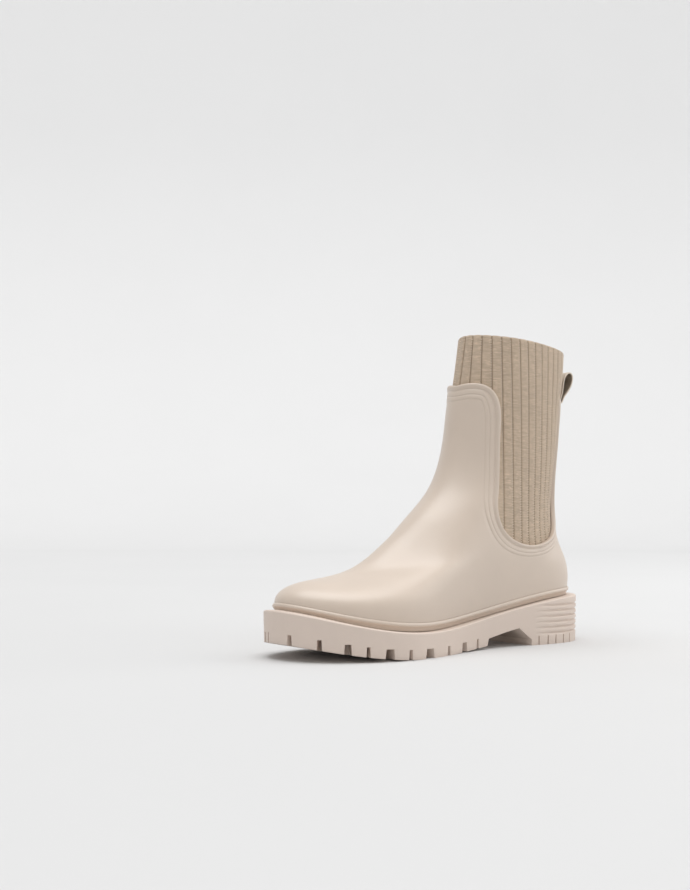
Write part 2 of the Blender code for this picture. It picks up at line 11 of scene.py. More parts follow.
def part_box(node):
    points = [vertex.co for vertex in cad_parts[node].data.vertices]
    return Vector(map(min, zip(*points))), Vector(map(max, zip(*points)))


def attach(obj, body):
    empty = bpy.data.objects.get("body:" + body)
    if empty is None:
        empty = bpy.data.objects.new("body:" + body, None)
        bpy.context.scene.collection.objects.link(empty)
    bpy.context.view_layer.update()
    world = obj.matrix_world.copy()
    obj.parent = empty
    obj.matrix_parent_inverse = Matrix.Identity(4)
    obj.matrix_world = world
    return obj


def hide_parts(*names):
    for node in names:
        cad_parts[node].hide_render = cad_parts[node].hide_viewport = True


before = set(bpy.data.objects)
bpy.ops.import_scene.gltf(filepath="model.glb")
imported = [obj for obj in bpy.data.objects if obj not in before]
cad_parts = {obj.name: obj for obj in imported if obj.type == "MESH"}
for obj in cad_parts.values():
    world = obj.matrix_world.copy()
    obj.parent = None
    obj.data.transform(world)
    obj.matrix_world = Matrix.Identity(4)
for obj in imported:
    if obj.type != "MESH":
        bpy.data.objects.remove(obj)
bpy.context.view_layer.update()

# Driving sizes, in metres
SOLE_LENGTH = 0.280
BALL_WIDTH = 0.103
HEEL_LEDGE = 0.036
BOOT_HEIGHT = 0.238
RUBBER_WALL = 0.0022
KNIT_WALL = 0.0030
INSOLE_THICKNESS = 0.0030
CLEARANCE = 0.0003
KNIT_GAP = 0.0005

# Raised band that runs along the rubber's top edge
BAND_RELIEF = 0.0006
STRIP_BAND_SHARE = 0.62

# Welt in its rebate at the foot of the upper
WELT_HEIGHT = 0.0048
REBATE_DEPTH = 0.0012
REBATE_STEP = 0.0007

# Sole
SOLE_TAPER = 0.0012
TOE_SPRING = 0.012
SPRING_START_SHARE = 0.68
SPRING_CURVE = 1.8
HEEL_LIFT = 0.0045
TREAD_LIFT = 0.0026
TREAD_CURVE = 1.5
NOTCH_HEIGHT = 0.0068
NOTCH_DEPTH = 0.016
NOTCH_TOP_SHARE = 0.66
HEEL_NOTCH_WIDTH = 0.0016
HEEL_NOTCH_DEPTH = 0.006
GROOVE_COUNT = 6
GROOVE_START = 0.0086
GROOVE_PITCH = 0.0042
GROOVE_DEPTH = 0.0010
GROOVE_END_SHARE = 0.325
SLOT_DEPTH = 0.0030
SLOT_WIDTH = 0.0040

# Pull loop of folded tape
TAPE_WIDTH = 0.019
TAPE_THICKNESS = 0.0013
LOOP_HEIGHT = 0.0175
LOOP_REACH = 0.0132

# Clear room beyond a wall, for cutters that start outside it
OUTSIDE = 0.006

# Solving on the form: once round it, points of a fine ring, step for its slopes, halvings for a level,
# and steps along the back
WHOLE_TURN = 2
FINE_RING = 2000
SLOPE_STEP = 1e-4
HALVINGS = 40
BACK_STEPS = 60
BACK_TURN = 0.3

# Sole outline: station along the length from the heel, then outer and inner half width over ball width
OUTLINE = [
    (0.00, 0.000, 0.000), (0.04, 0.245, 0.235), (0.10, 0.335, 0.325), (0.20, 0.355, 0.350),
    (0.34, 0.330, 0.295), (0.48, 0.375, 0.300), (0.60, 0.465, 0.385), (0.70, 0.520, 0.460),
    (0.80, 0.500, 0.480), (0.89, 0.400, 0.430), (0.96, 0.245, 0.320), (1.00, -0.050, 0.050),
]

# Top edge of the sole: station, height over heel ledge
LEDGE = [
    (0.00, 1.000), (0.15, 0.953), (0.35, 0.731), (0.55, 0.522), (0.70, 0.506), (0.85, 0.653), (1.00, 0.944),
]

# Underside from the heel breast to the flat of the forefoot: station, height over heel ledge
ARCH = [(0.297, 0.383), (0.353, 0.306), (0.412, 0.217)]
BREAST_SHARE = 0.252
TREAD_BACK_SHARE = 0.417
TREAD_FLAT_SHARE = 0.580

# Rings of the boot's outer form: level, back and front over sole length, rise of back and of front over
# the rise above the ledge, how much the ring follows the ledge, half widths over ball width at RING_SHARES
RING_SHARES = [0.10, 0.30, 0.50, 0.70, 0.88]
RINGS = [
    (0.00, 0.0250, 0.9750, 0.000, 0.000, 1.00, 0.265, 0.267, 0.286, 0.405, 0.359),
    (0.05, 0.0214, 0.9750, 0.050, 0.044, 0.85, 0.280, 0.286, 0.311, 0.422, 0.364),
    (0.10, 0.0232, 0.9530, 0.099, 0.077, 0.60, 0.284, 0.301, 0.325, 0.412, 0.335),
    (0.15, 0.0339, 0.9100, 0.148, 0.098, 0.38, 0.280, 0.313, 0.330, 0.374, 0.243),
    (0.20, 0.0510, 0.8460, 0.198, 0.106, 0.20, 0.267, 0.320, 0.330, 0.339, 0.189),
    (0.26, 0.0660, 0.7600, 0.257, 0.128, 0.10, 0.250, 0.318, 0.330, 0.315, 0.189),
    (0.33, 0.0725, 0.6640, 0.327, 0.198, 0.02, 0.233, 0.313, 0.328, 0.306, 0.199),
    (0.41, 0.0700, 0.5720, 0.406, 0.299, 0.00, 0.223, 0.309, 0.326, 0.304, 0.209),
    (0.50, 0.0640, 0.4940, 0.490, 0.401, 0.00, 0.218, 0.307, 0.326, 0.304, 0.212),
    (0.60, 0.0540, 0.4470, 0.584, 0.530, 0.00, 0.215, 0.306, 0.328, 0.306, 0.214),
    (0.75, 0.0425, 0.4230, 0.718, 0.703, 0.00, 0.215, 0.306, 0.330, 0.308, 0.215),
    (0.88, 0.0265, 0.4030, 0.842, 0.852, 0.00, 0.215, 0.305, 0.330, 0.308, 0.215),
    (1.00, 0.0195, 0.3850, 0.946, 1.000, 0.00, 0.215, 0.304, 0.328, 0.306, 0.214),
]

# Swing of a ring's centre line to the outer side over ball width, at the heel, RING_SHARES and the toe
SWING = [0.000, 0.003, 0.019, 0.034, 0.037, -0.015, -0.044]

# Level and how much of the swing it keeps
SWING_KEPT = [
    (0.00, 1.00), (0.10, 0.95), (0.20, 0.80), (0.26, 0.60), (0.33, 0.40), (0.41, 0.20), (0.50, 0.05),
    (0.60, 0.00), (1.00, 0.00),
]

# Top edge of the rubber on one side: turn round the boot (0 heel, 1 toe), rise above the ledge.
# It runs from the front of the panel over its corner, round the side opening and up the back strip.
TRIM = [
    (1.000, 0.800), (0.905, 0.807), (0.795, 0.799), (0.738, 0.772), (0.697, 0.716), (0.683, 0.615),
    (0.651, 0.482), (0.589, 0.369), (0.510, 0.279), (0.421, 0.221), (0.330, 0.197), (0.250, 0.215),
    (0.180, 0.262), (0.126, 0.347), (0.110, 0.494), (0.106, 0.663), (0.100, 0.748), (0.065, 0.787),
    (0.000, 0.797),
]
PANEL_CORNER, PANEL_FOOT, STRIP_FOOT, STRIP_CORNER = 3, 7, 13, 16

# Weights of turn and rise in the length along that edge
TRIM_WEIGHTS = (1.0, 2.0)

# Lower edge of the knit shaft behind the rubber: turn, rise above the ledge
KNIT_HEM = [
    (0.00, 0.238), (0.17, 0.178), (0.35, 0.129), (0.52, 0.188), (0.60, 0.267), (0.66, 0.347), (0.80, 0.455),
    (1.00, 0.495),
]

# Crowding of the upper's rows towards the toe, where they bend most
FOOT_CROWD = 1.4

# Notches between the lugs round the forefoot: turn, width over ball width. One more is inside only.
NOTCHES = [
    (0.938, 0.045), (0.854, 0.044), (0.788, 0.064), (0.745, 0.036), (0.700, 0.086), (0.655, 0.040),
    (0.608, 0.110), (0.556, 0.043), (0.510, 0.080), (0.473, 0.032),
]
INNER_NOTCH = (-0.968, 0.020)
HEEL_NOTCHES = [0.316, 0.290, 0.265, 0.236, 0.205]

# Slots across the tread: station, length over ball width
SLOTS = [
    (0.46, 0.18), (0.52, 0.22), (0.70, 0.42), (0.76, 0.42), (0.82, 0.38), (0.88, 0.28), (0.16, 0.30),
    (0.21, 0.30),
]


def natural(knots, values):
    """Natural cubic spline through rows of values, as a function of an array."""
    x = np.asarray(knots, float)
    y = np.asarray(values, float)
    count = len(x)
    gap = np.diff(x)
    system = np.eye(count)
    right = np.zeros_like(y)
    for i in range(1, count - 1):
        system[i, i - 1:i + 2] = gap[i - 1], 2 * (gap[i - 1] + gap[i]), gap[i]
        right[i] = 6 * ((y[i + 1] - y[i]) / gap[i] - (y[i] - y[i - 1]) / gap[i - 1])
    bend = np.linalg.solve(system, right)

    def curve(q):
        q = np.asarray(q, float)
        k = np.clip(np.searchsorted(x, q) - 1, 0, count - 2)
        width = x[k + 1] - x[k]
        a = (x[k + 1] - q) / width
        b = (q - x[k]) / width
        spread = (slice(None),) * q.ndim + (None,) * (y.ndim - 1)
        line = a[spread] * y[k] + b[spread] * y[k + 1]
        sag = (a ** 3 - a)[spread] * bend[k] + (b ** 3 - b)[spread] * bend[k + 1]
        return line + sag * (width * width)[spread] / 6

    return curve


def turn_of(station):
    return np.arccos(1 - 2 * np.clip(station, 0, 1)) / math.pi


def station_of(turn):
    return (1 - np.cos(math.pi * turn)) / 2


def wrapped(w):
    """The turn brought back between -1 and 1."""
    return (w + 1) % WHOLE_TURN - 1


OUTLINE_ROWS = np.array(OUTLINE)
LEDGE_ROWS = np.array(LEDGE)
RING_ROWS = np.array(RINGS)
KEPT_ROWS = np.array(SWING_KEPT)
RING_TURNS = turn_of(np.array([0.0] + RING_SHARES + [1.0]))
RISE = BOOT_HEIGHT - HEEL_LEDGE

outline_share = natural(turn_of(OUTLINE_ROWS[:, 0]), OUTLINE_ROWS[:, 1:])
ledge_share = natural(LEDGE_ROWS[:, 0], LEDGE_ROWS[:, 1])
ring_shares = natural(RING_ROWS[:, 0], RING_ROWS[:, 1:])
ring_weights = natural(RING_TURNS, np.eye(len(RING_TURNS)))
swing_share = natural(RING_TURNS, SWING)
swing_kept = natural(KEPT_ROWS[:, 0], KEPT_ROWS[:, 1])


def at(x, station, z):
    """Points from the side offset, the station along the sole and the height."""
    x, station, z = np.broadcast_arrays(x, station, z)
    return np.stack([x, SOLE_LENGTH * (0.5 - station), z], -1)


def ledge(station):
    return HEEL_LEDGE * ledge_share(station)


def ledge_under(points):
    return ledge(0.5 - points[..., 1] / SOLE_LENGTH)


def form(w, v):
    """Outer form of the boot. w goes round: 0 heel, 1 toe by the outer side, -1 toe by the inner one."""
    w, v = np.broadcast_arrays(np.asarray(w, float), np.asarray(v, float))
    shape = w.shape
    w = wrapped(w.ravel())
    v = v.ravel()
    turn = np.abs(w)
    share = station_of(turn)
    row = ring_shares(v)
    back, front, back_rise, front_rise, follow = row[:, :5].T
    edge = np.zeros((len(v), 1))
    half = (ring_weights(turn) * np.hstack([edge, row[:, 5:], edge])).sum(1)
    station = back + (front - back) * share
    x = BALL_WIDTH * (np.sign(w) * half + swing_share(turn) * swing_kept(v))
    lift = RISE * (back_rise + (front_rise - back_rise) * share)
    z = HEEL_LEDGE + follow * (ledge(station) - HEEL_LEDGE) + lift
    return at(x, station, z).reshape(shape + (3,))


def slopes(w, v):
    """How the form moves with w and with v."""
    low = np.maximum(v - SLOPE_STEP, 0)
    along = (form(w + SLOPE_STEP, v) - form(w - SLOPE_STEP, v)) / (2 * SLOPE_STEP)
    up = (form(w, v + SLOPE_STEP) - form(w, low)) / (v + SLOPE_STEP - low)[..., None]
    return along, up


def lengths(points):
    """Length run along each line of points up to every point."""
    steps = np.linalg.norm(np.diff(points, axis=0), axis=-1)
    return np.concatenate([0 * steps[:1], np.cumsum(steps, 0)])


def unit(vectors):
    return vectors / np.linalg.norm(vectors, axis=-1, keepdims=True)


def skin(w, v, offset):
    """The form moved outwards by an offset."""
    along, up = slopes(w, v)
    return form(w, v) + unit(np.cross(up, along)) * np.asarray(offset)[..., None]


def solve_level(w, height_of, target):
    """Level v at which height_of(point) reaches the target."""
    low = np.zeros(np.shape(w))
    high = np.ones(np.shape(w))
    for _ in range(HALVINGS):
        middle = (low + high) / 2
        below = height_of(form(w, middle)) < target
        low = np.where(below, middle, low)
        high = np.where(below, high, middle)
    return (low + high) / 2


def level_at_rise(w, rise):
    return solve_level(w, lambda p: p[..., 2], HEEL_LEDGE + RISE * np.asarray(rise))


def rise_of(points):
    """Rise above the heel's ledge as a share of the whole rise."""
    return (points[..., 2] - HEEL_LEDGE) / RISE


def level_over_ledge(w, height):
    return solve_level(w, lambda p: p[..., 2] - ledge_under(p), height)


def spaced(start, end, count):
    return np.linspace(start, end, count + 1)


def trim_line(counts):
    """The rubber's top edge as w and v, closed, with the chosen number of steps in each stretch."""
    rows = np.array(TRIM)
    length = lengths(rows * TRIM_WEIGHTS)
    curve = natural(length, rows)
    stops = [0, PANEL_CORNER, PANEL_FOOT, STRIP_FOOT, STRIP_CORNER, len(rows) - 1]
    places = [0.0]
    for a, b, count in zip(stops, stops[1:], counts):
        places.extend(spaced(length[a], length[b], count)[1:])
    half = curve(np.array(places))
    turn = np.r_[half[:, 0], -half[-2:0:-1, 0]]
    rise = np.r_[half[:, 1], half[-2:0:-1, 1]]
    return turn, level_at_rise(turn, rise)


def band_share(counts):
    """How much of the band's width each column keeps: less on the narrow back strip."""
    panel, side, gore, strip, top = counts
    ease = (1 - np.cos(spaced(0, math.pi, gore))) / 2
    half = np.r_[np.ones(panel + side), 1 - (1 - STRIP_BAND_SHARE) * ease,
                 np.full(strip + top, STRIP_BAND_SHARE)]
    return np.r_[half, half[-2:0:-1]]


def step_across(w, v, distance):
    """Move a closed line on the form square to itself, away from the opening."""
    along, up = slopes(w, v)
    points = form(w, v)
    tangent = unit(np.roll(points, -1, 0) - np.roll(points, 1, 0))
    across = unit(np.cross(tangent, unit(np.cross(up, along))))
    aa = (along * along).sum(-1)
    au = (along * up).sum(-1)
    uu = (up * up).sum(-1)
    pa = (across * along).sum(-1)
    pu = (across * up).sum(-1)
    det = aa * uu - au * au
    return w + distance * (pa * uu - pu * au) / det, v + distance * (pu * aa - pa * au) / det


def coons(left, right, bottom, top):
    """Grid of w and v inside four edges: left and right run up, bottom and top run across."""
    a = spaced(0, 1, len(bottom) - 1)[None, :, None]
    b = spaced(0, 1, len(left) - 1)[:, None, None]
    sides = left[:, None] * (1 - a) + right[:, None] * a
    ends = bottom[None] * (1 - b) + top[None] * b
    low = bottom[0] * (1 - a) + bottom[-1] * a
    high = top[0] * (1 - a) + top[-1] * a
    return sides + ends - (low * (1 - b) + high * b)


def solid_between(first, last):
    """Closed solid between two closed sections with the same number of points."""
    mesh = bmesh.new()
    here, after = [[mesh.verts.new(p) for p in section] for section in (first, last)]
    for j in range(len(here)):
        k = (j + 1) % len(here)
        mesh.faces.new((here[j], here[k], after[k], after[j]))
    mesh.faces.new(here[::-1])
    mesh.faces.new(after)
    return mesh


def sole_edge(w, inset=0.0):
    """Plan of the sole: x and y round the outline, moved in by an inset, and the way outwards."""
    w = wrapped(np.asarray(w, float))

    def plan(q):
        share = outline_share(np.abs(q))
        half = np.where(q >= 0, share[..., 0], -share[..., 1])
        return np.stack([BALL_WIDTH * half, SOLE_LENGTH * (0.5 - station_of(np.abs(q)))], -1)

    along = plan(np.clip(w + SLOPE_STEP, -1, 1)) - plan(np.clip(w - SLOPE_STEP, -1, 1))
    outward = unit(np.stack([-along[..., 1], along[..., 0]], -1))
    return plan(w) - outward * np.asarray(inset)[..., None], outward


def tread(station):
    """Height of the forefoot's tread above the floor."""
    back = np.clip((TREAD_FLAT_SHARE - station) / (TREAD_FLAT_SHARE - TREAD_BACK_SHARE), 0, 1)
    spring = np.clip((station - SPRING_START_SHARE) / (1 - SPRING_START_SHARE), 0, None)
    return TREAD_LIFT * back ** TREAD_CURVE + TOE_SPRING * spring ** SPRING_CURVE


def floor_at(station):
    """Height of the sole's own underside at a lug."""
    return float(tread(station)) if station > TREAD_BACK_SHARE else 0.0


def join_into(target, other):
    """Copy a mesh into another."""
    copies = {v: target.verts.new(v.co) for v in other.verts}
    for face in other.faces:
        target.faces.new([copies[v] for v in face.verts])
    other.free()


def add_block(target, middle, direction, length, width, height):
    """A block centred below a point of the tread, narrower at its top, its length along a direction."""
    block = bmesh.new()
    bmesh.ops.create_cube(block, size=1)
    cos, sin = direction
    for vert in block.verts:
        a = vert.co.x * length
        b = vert.co.y * width * (NOTCH_TOP_SHARE if vert.co.z > 0 else 1)
        z = height if vert.co.z > 0 else -OUTSIDE
        vert.co = (middle[0] + a * cos - b * sin, middle[1] + a * sin + b * cos, middle[2] + z)
    join_into(target, block)


def add_notch(target, w, width, depth, height):
    edge, outward = sole_edge(w)
    reach = depth + OUTSIDE
    centre = edge + outward * (OUTSIDE - reach / 2)
    add_block(target, (*centre, floor_at(station_of(abs(w)))), outward, reach, width, height)


def back_line(z):
    """Back of the form at a height, as y over x."""
    ring = spaced(-BACK_TURN, BACK_TURN, BACK_STEPS)
    points = form(ring, solve_level(ring, lambda p: p[..., 2], z))
    return natural(points[:, 0], points[:, 1])


MM = 0.001

# Steps of the rubber's mesh: along the panel, its side, the side opening, the strip's side and its top
UPPER_COUNTS = (30, 26, 60, 24, 10)
FOOT_ROWS = 44
WELT_COLUMNS = 320

# Edge of the rubber in mm: distance from the edge, height over the form. It starts on the inner face.
EDGE_ROWS = [
    (0.70, -2.20), (0.30, -2.14), (0.08, -1.92), (0.00, -1.50), (0.00, -0.50), (0.03, 0.10), (0.16, 0.58),
    (0.45, 0.98), (0.90, 1.24), (1.45, 1.32), (2.00, 1.24), (2.50, 1.02), (2.95, 0.70), (3.35, 0.34),
    (3.70, 0.04), (4.05, -0.10), (4.45, -0.10), (4.85, 0.08), (5.20, 0.34), (5.60, 0.50), (6.20, 0.56),
    (7.20, 0.56), (7.95, 0.52), (8.30, 0.40), (8.60, 0.14), (8.90, 0.08), (9.20, 0.20), (9.55, 0.38),
    (10.1, 0.42), (11.0, 0.40), (11.6, 0.34), (12.0, 0.14), (12.3, -0.08), (12.7, -0.10), (13.2, 0.00),
]
INNER_ROWS = [0.70, 3.00, 6.10, 9.20, 12.2, 13.2]
EDGE_STRIDE = 0.0006
EDGE_EASE = 0.15
CORNER_DIP = 0.08
CORNER_COLUMNS = 10

# Soft troughs and ridges of the rubber: turn and level of three points, half width and height in mm
CREASES = [
    ((0.97, 0.385), (0.86, 0.335), (0.74, 0.300), 9.0, -0.42),
    ((0.97, 0.455), (0.88, 0.410), (0.78, 0.390), 9.0, 0.30),
    ((-0.97, 0.385), (-0.84, 0.345), (-0.72, 0.300), 9.0, -0.40),
    ((0.34, 0.140), (0.24, 0.190), (0.13, 0.205), 8.0, -0.35),
    ((-0.34, 0.140), (-0.24, 0.190), (-0.13, 0.205), 8.0, -0.35),
    ((0.76, 0.100), (0.84, 0.120), (0.92, 0.105), 10.0, -0.22),
]
CREASE_POINTS = 33
CREASE_FADE = 0.7

# Rounded step down into the welt's rebate: share of the step, share of the rebate's depth
REBATE_ROWS = [(0.10, 0.03), (0.28, 0.13), (0.48, 0.32), (0.70, 0.62), (0.90, 0.90), (1.00, 1.00)]

# Welt in mm: height over the form, height over the ledge
WELT_ROWS = [
    (-0.85, 0.30), (-0.25, 0.32), (-0.16, 0.55), (-0.10, 1.20), (-0.02, 1.90), (0.10, 2.45), (0.34, 2.95),
    (0.72, 3.35), (1.10, 3.75), (1.32, 4.20), (1.38, 4.70), (1.28, 5.20), (1.06, 5.65), (0.80, 6.02),
    (0.55, 6.30), (0.38, 6.42), (0.28, 6.38), (0.24, 6.20), (0.20, 6.00), (0.10, 5.80), (-0.10, 5.58),
    (-0.40, 5.38), (-0.75, 5.20), (-0.95, 5.00),
]

# Rows of the sole's wall: height over the tread of the lower ones, offset in mm and depth across a heel
# groove, how the grooves fade, shares of the way from the top groove to the ledge, the ledge's rounding
LOW_ROWS = [-OUTSIDE, 0.0033, 0.0056]
GROOVE_ROWS = [(-1.00, 0.0), (-0.74, 0.2), (-0.48, 0.85), (0.0, 1.0), (0.48, 0.85), (0.74, 0.2), (1.00, 0.0)]
HEEL_GROOVE_FADE = (1.08, 1.1, 8)
GROOVE_CLEAR = 0.0004
UPPER_SHARES = [0.45, 0.9]
LEDGE_ROUND = 0.0012
LEDGE_TURNS = [0, 18, 36, 54, 72, 90]
LEDGE_REACH = [0.0020, 0.0050, 0.0120]
SOLE_COLUMNS = 440
NOTCH_CLEAR = 0.00045
PACE_STEP = 1e-3
TREAD_STEPS = 8
SPRING_STEPS = 40

# Rounding of the lugs' outer edges
LUG_REACH = 2.2 * SOLE_TAPER
LUG_TOP = NOTCH_HEIGHT + 0.0004
LUG_POINTS = 1600
LUG_JOIN = 2e-5
LUG_SHARP = 45
LUG_SMOOTH = 38
SOLE_BEVEL = 0.00042
BEVEL_STEPS = 2

# Knit: ribs round the shaft, columns across a rib, rows of the outer face, the fold and the inner face
KNIT_FACE = -(RUBBER_WALL + KNIT_GAP)
RIBS = 34
RIB_SHIFT = 0.12
RIB_COLUMNS = [0.0, 0.035, 0.07, 0.11, 0.15, 0.26, 0.50, 0.74, 0.85, 0.89, 0.93, 0.965]
KNIT_OUTER_ROWS = 84
KNIT_FOLD_STEPS = 8
KNIT_INNER_ROWS = 36
RIB_DEPTH = 0.0008
RIB_GROOVE = 0.14
RIB_CROWN = 0.00018
RIB_FOLD_SHARE = 0.8
RIB_FOLD_REACH = 0.0028
RIB_LOWEST = 0.10
RIB_LEVELS = 72
RIB_LEAST_PACE = 0.02
RIB_LONGEST_STEP = 0.02
RIB_SHIFT_POWER = 8
RIB_ROUNDS = 4
RIB_COUNT_LEVEL = 0.97
RIB_PLANE_LEVEL = 0.99
RIB_TOP_LEVEL = 0.999
COURSE_PITCH = 0.00088
WALES = 7

# Stitches in the ribs' grooves: sizes, levels from the top down with their steps, what shows under the edge
STITCH_PITCH = 0.0019
STITCH_LONG = 0.00055
STITCH_WIDE = 0.00040
STITCH_ASIDE = 0.06
STITCH_SINK = 0.00005
STITCH_TILT = 0.8
STITCH_LEVELS = (0.985, 0.2, 90)
STITCH_HIDDEN = 0.01

# Footbed: turns with their steps, then share across and share of the thickness
FOOTBED_TURNS = (0.06, 0.95, 140)
FOOTBED_ROWS = [
    (0, 0), (0, 0.7), (0.006, 0.92), (0.02, 1), (0.06, 1), (0.15, 1), (0.3, 1), (0.5, 1), (0.7, 1),
    (0.85, 1), (0.94, 1), (0.98, 1), (0.994, 0.92), (1, 0.7), (1, 0), (0.5, 0),
]

# Loop of tape seen from the side, as shares of its reach and its height
TAPE_LOOP = [
    (0.05, -0.38), (0.06, -0.16), (0.13, 0.08), (0.20, 0.40), (0.32, 0.77), (0.64, 1.00), (0.93, 0.95),
    (1.00, 0.70), (0.88, 0.41), (0.62, 0.13), (0.34, -0.12), (0.19, -0.38),
]
LOOP_CURL = 0.5
LOOP_FINE_STEPS = 110
LOOP_ACROSS = 22
LOOP_RIM = 3
LOOP_OVERLAP = 3
LOOP_EDGE_POWER = 14
LOOP_EDGE_LEAST = 0.5

# Floor and backdrop: ends of the flat part, radius of the curve, top, tone, glow of the far part
STAGE_FRONT = -5.0
STAGE_NEAR = -0.5
STAGE_BACK = 2.2
STAGE_CURVE = 1.6
STAGE_TOP = 5.0
STAGE_TONE = (0.65, 0.65, 0.65)
STAGE_GLOW = 0.29
STAGE_STEPS = 24

# Colours of the rubber, the sole, the knit's ribs, the painted shade in the knit's grooves, the tape, the
# painted shade on the tape loop's inner face, the lining and the thread
RUBBER_TONE = (0.620, 0.515, 0.425)
SOLE_TONE = (0.680, 0.570, 0.493)
RIB_TONE = (0.545, 0.430, 0.323)
GROOVE_SHADE_TONE = (0.390, 0.298, 0.214)
TAPE_TONE = (0.700, 0.610, 0.510)
TAPE_PAINTED_SHADE_TONE = (0.340, 0.270, 0.200)
LINING_TONE = (0.520, 0.450, 0.370)
THREAD_TONE = (0.840, 0.740, 0.610)
TAPE_PITCH = 0.00065
LINING_PITCH = 0.0011

# Light all round, then each lamp's name, kind, place, target, power and own settings
WORLD_LIGHT = 0.56
LAMPS = [
    ("side_softbox", 'AREA', (0.75, 1.35, 0.9), (0.0, 0.0, 0.1), 8.5, {"size": 1.5}),
    ("overhead_light", 'SUN', (0.12, -0.20, 2.4), (0.0, 0.0, 0.0), 1.90, {"angle": math.radians(55)}),
]

# Camera fitted to the photo, in the design's own place
CAMERA_PLACE = (0.70175, -0.61095, 0.10192)
CAMERA_AHEAD = (-0.79749, 0.60096, 0.05334)
CAMERA_LENS = 49.904
SENSOR = 36.0


def frame_step():
    """How far the frame stands from the design's own place."""
    low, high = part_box("outsole")
    plan, _ = sole_edge(spaced(-1, 1, FINE_RING))
    own = (plan.min(0) + plan.max(0)) / 2
    return Vector(((low.x + high.x) / 2 - own[0], (low.y + high.y) / 2 - own[1], 0.0))


STEP = frame_step()


class Shape:
    """Faces gathered grid by grid, with a UV map and the material of each grid."""

    def __init__(self):
        self.points = []
        self.faces = []
        self.uv = []
        self.skins = []
        self.count = 0

    def grid(self, points, closed=False, closed_rows=False, uv=None, skin_index=0):
        rows, columns = points.shape[:2]
        index = self.count + np.arange(rows * columns).reshape(rows, columns)
        if uv is None:
            uv = np.zeros((rows + closed_rows, columns + closed, 2))
        if closed:
            index = np.hstack([index, index[:, :1]])
        if closed_rows:
            index = np.vstack([index, index[:1]])
        corners = [np.s_[:-1, :-1], np.s_[:-1, 1:], np.s_[1:, 1:], np.s_[1:, :-1]]
        quads = np.stack([index[c] for c in corners], -1).reshape(-1, 4)
        self.points.append(points.reshape(-1, 3))
        self.faces.append(quads)
        self.uv.append(np.stack([uv[c] for c in corners], -2).reshape(-1, 2))
        self.skins.append(np.full(len(quads), skin_index))
        self.count += rows * columns

    def piece(self, name, materials, marks=None):
        """A plain object in the frame's place, its doubled points joined and its faces turned outwards."""
        data = bpy.data.meshes.new(name)
        points = np.concatenate(self.points) + np.array(STEP)
        data.from_pydata(points.tolist(), [], np.concatenate(self.faces).tolist())
        layer = data.uv_layers.new(name="cloth")
        layer.data.foreach_set("uv", np.concatenate(self.uv).astype(np.float32).ravel())
        data.polygons.foreach_set("material_index", np.concatenate(self.skins).astype(np.int32))
        for label, values in (marks or {}).items():
            mark = data.attributes.new(label, 'FLOAT', 'POINT')
            mark.data.foreach_set("value", np.asarray(values, np.float32).ravel())
        mesh = bmesh.new()
        mesh.from_mesh(data)
        bmesh.ops.remove_doubles(mesh, verts=mesh.verts, dist=2e-6)
        bmesh.ops.recalc_face_normals(mesh, faces=mesh.faces)
        mesh.to_mesh(data)
        mesh.free()
        data.shade_smooth()
        return as_object(name, data, materials)


def as_object(name, data, materials=()):
    for material in materials:
        data.materials.append(material)
    body = bpy.data.objects.new(name, data)
    bpy.context.scene.collection.objects.link(body)
    return body


def settle(body, node):
    """The piece stands for its CAD node: it hangs from the root body and that node is hidden."""
    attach(body, "root")
    if node:
        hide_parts(node)


def evaluated_mesh(body):
    """Put what the modifiers make in place of the object's own mesh."""
    graph = bpy.context.evaluated_depsgraph_get()
    made = bpy.data.meshes.new_from_object(body.evaluated_get(graph), preserve_all_data_layers=True,
                                           depsgraph=graph)
    body.modifiers.clear()
    old = body.data
    body.data = made
    bpy.data.meshes.remove(old)


# Node helpers

def node(tree, kind, inputs=None, **settings):
    made = tree.nodes.new(kind)
    for key, value in settings.items():
        setattr(made, key, value)
    for key, value in (inputs or {}).items():
        if isinstance(value, bpy.types.NodeSocket):
            tree.links.new(value, made.inputs[key])
        else:
            made.inputs[key].default_value = value
    return made


def wire(tree, kind, inputs=None, **settings):
    """First output of a new node."""
    return node(tree, kind, inputs, **settings).outputs[0]


def maths(tree, operation, *values):
    return wire(tree, "ShaderNodeMath", dict(enumerate(values)), operation=operation)


def ramp(tree, value, low, high, out_low=0.0, out_high=1.0):
    """A smooth step of a value from one output to another."""
    ends = {"From Min": low, "From Max": high, "To Min": out_low, "To Max": out_high}
    made = node(tree, "ShaderNodeMapRange", {"Value": value, **ends}, interpolation_type='SMOOTHSTEP')
    return made.outputs["Result"]


def sway(tree, value, reach, low=0.3, high=0.7):
    """A smooth step of a value from minus to plus a reach."""
    return ramp(tree, value, low, high, -reach, reach)


def times(tree, first, second):
    return maths(tree, 'MULTIPLY', first, second)


def total(tree, value, *others):
    for other in others:
        value = maths(tree, 'ADD', value, other)
    return value


def vector(tree, x=0.0, y=0.0, z=0.0):
    return wire(tree, "ShaderNodeCombineXYZ", {"X": x, "Y": y, "Z": z})


def noise(tree, place, scale, detail=2.0, roughness=0.5):
    sizes = {"Scale": scale, "Detail": detail, "Roughness": roughness}
    return node(tree, "ShaderNodeTexNoise", {"Vector": place, **sizes}).outputs["Fac"]


def mixed(tree, factor, first, second, blend='MIX'):
    """Mix of two colours."""
    made = node(tree, "ShaderNodeMix", {0: factor, 6: first, 7: second}, data_type='RGBA', blend_type=blend)
    return made.outputs[2]


def paint(tree, shader, color, tone):
    """Base colour of the shader: a colour times one plus the tone."""
    value = total(tree, tone, 1.0)
    grey = wire(tree, "ShaderNodeCombineColor", {0: value, 1: value, 2: value})
    tree.links.new(mixed(tree, 1.0, color, grey, 'MULTIPLY'), shader.inputs["Base Color"])


def place_of(tree, scale=(1, 1, 1)):
    place = node(tree, "ShaderNodeTexCoord").outputs["Object"]
    return node(tree, "ShaderNodeMapping", {"Vector": place, "Scale": scale}).outputs["Vector"]


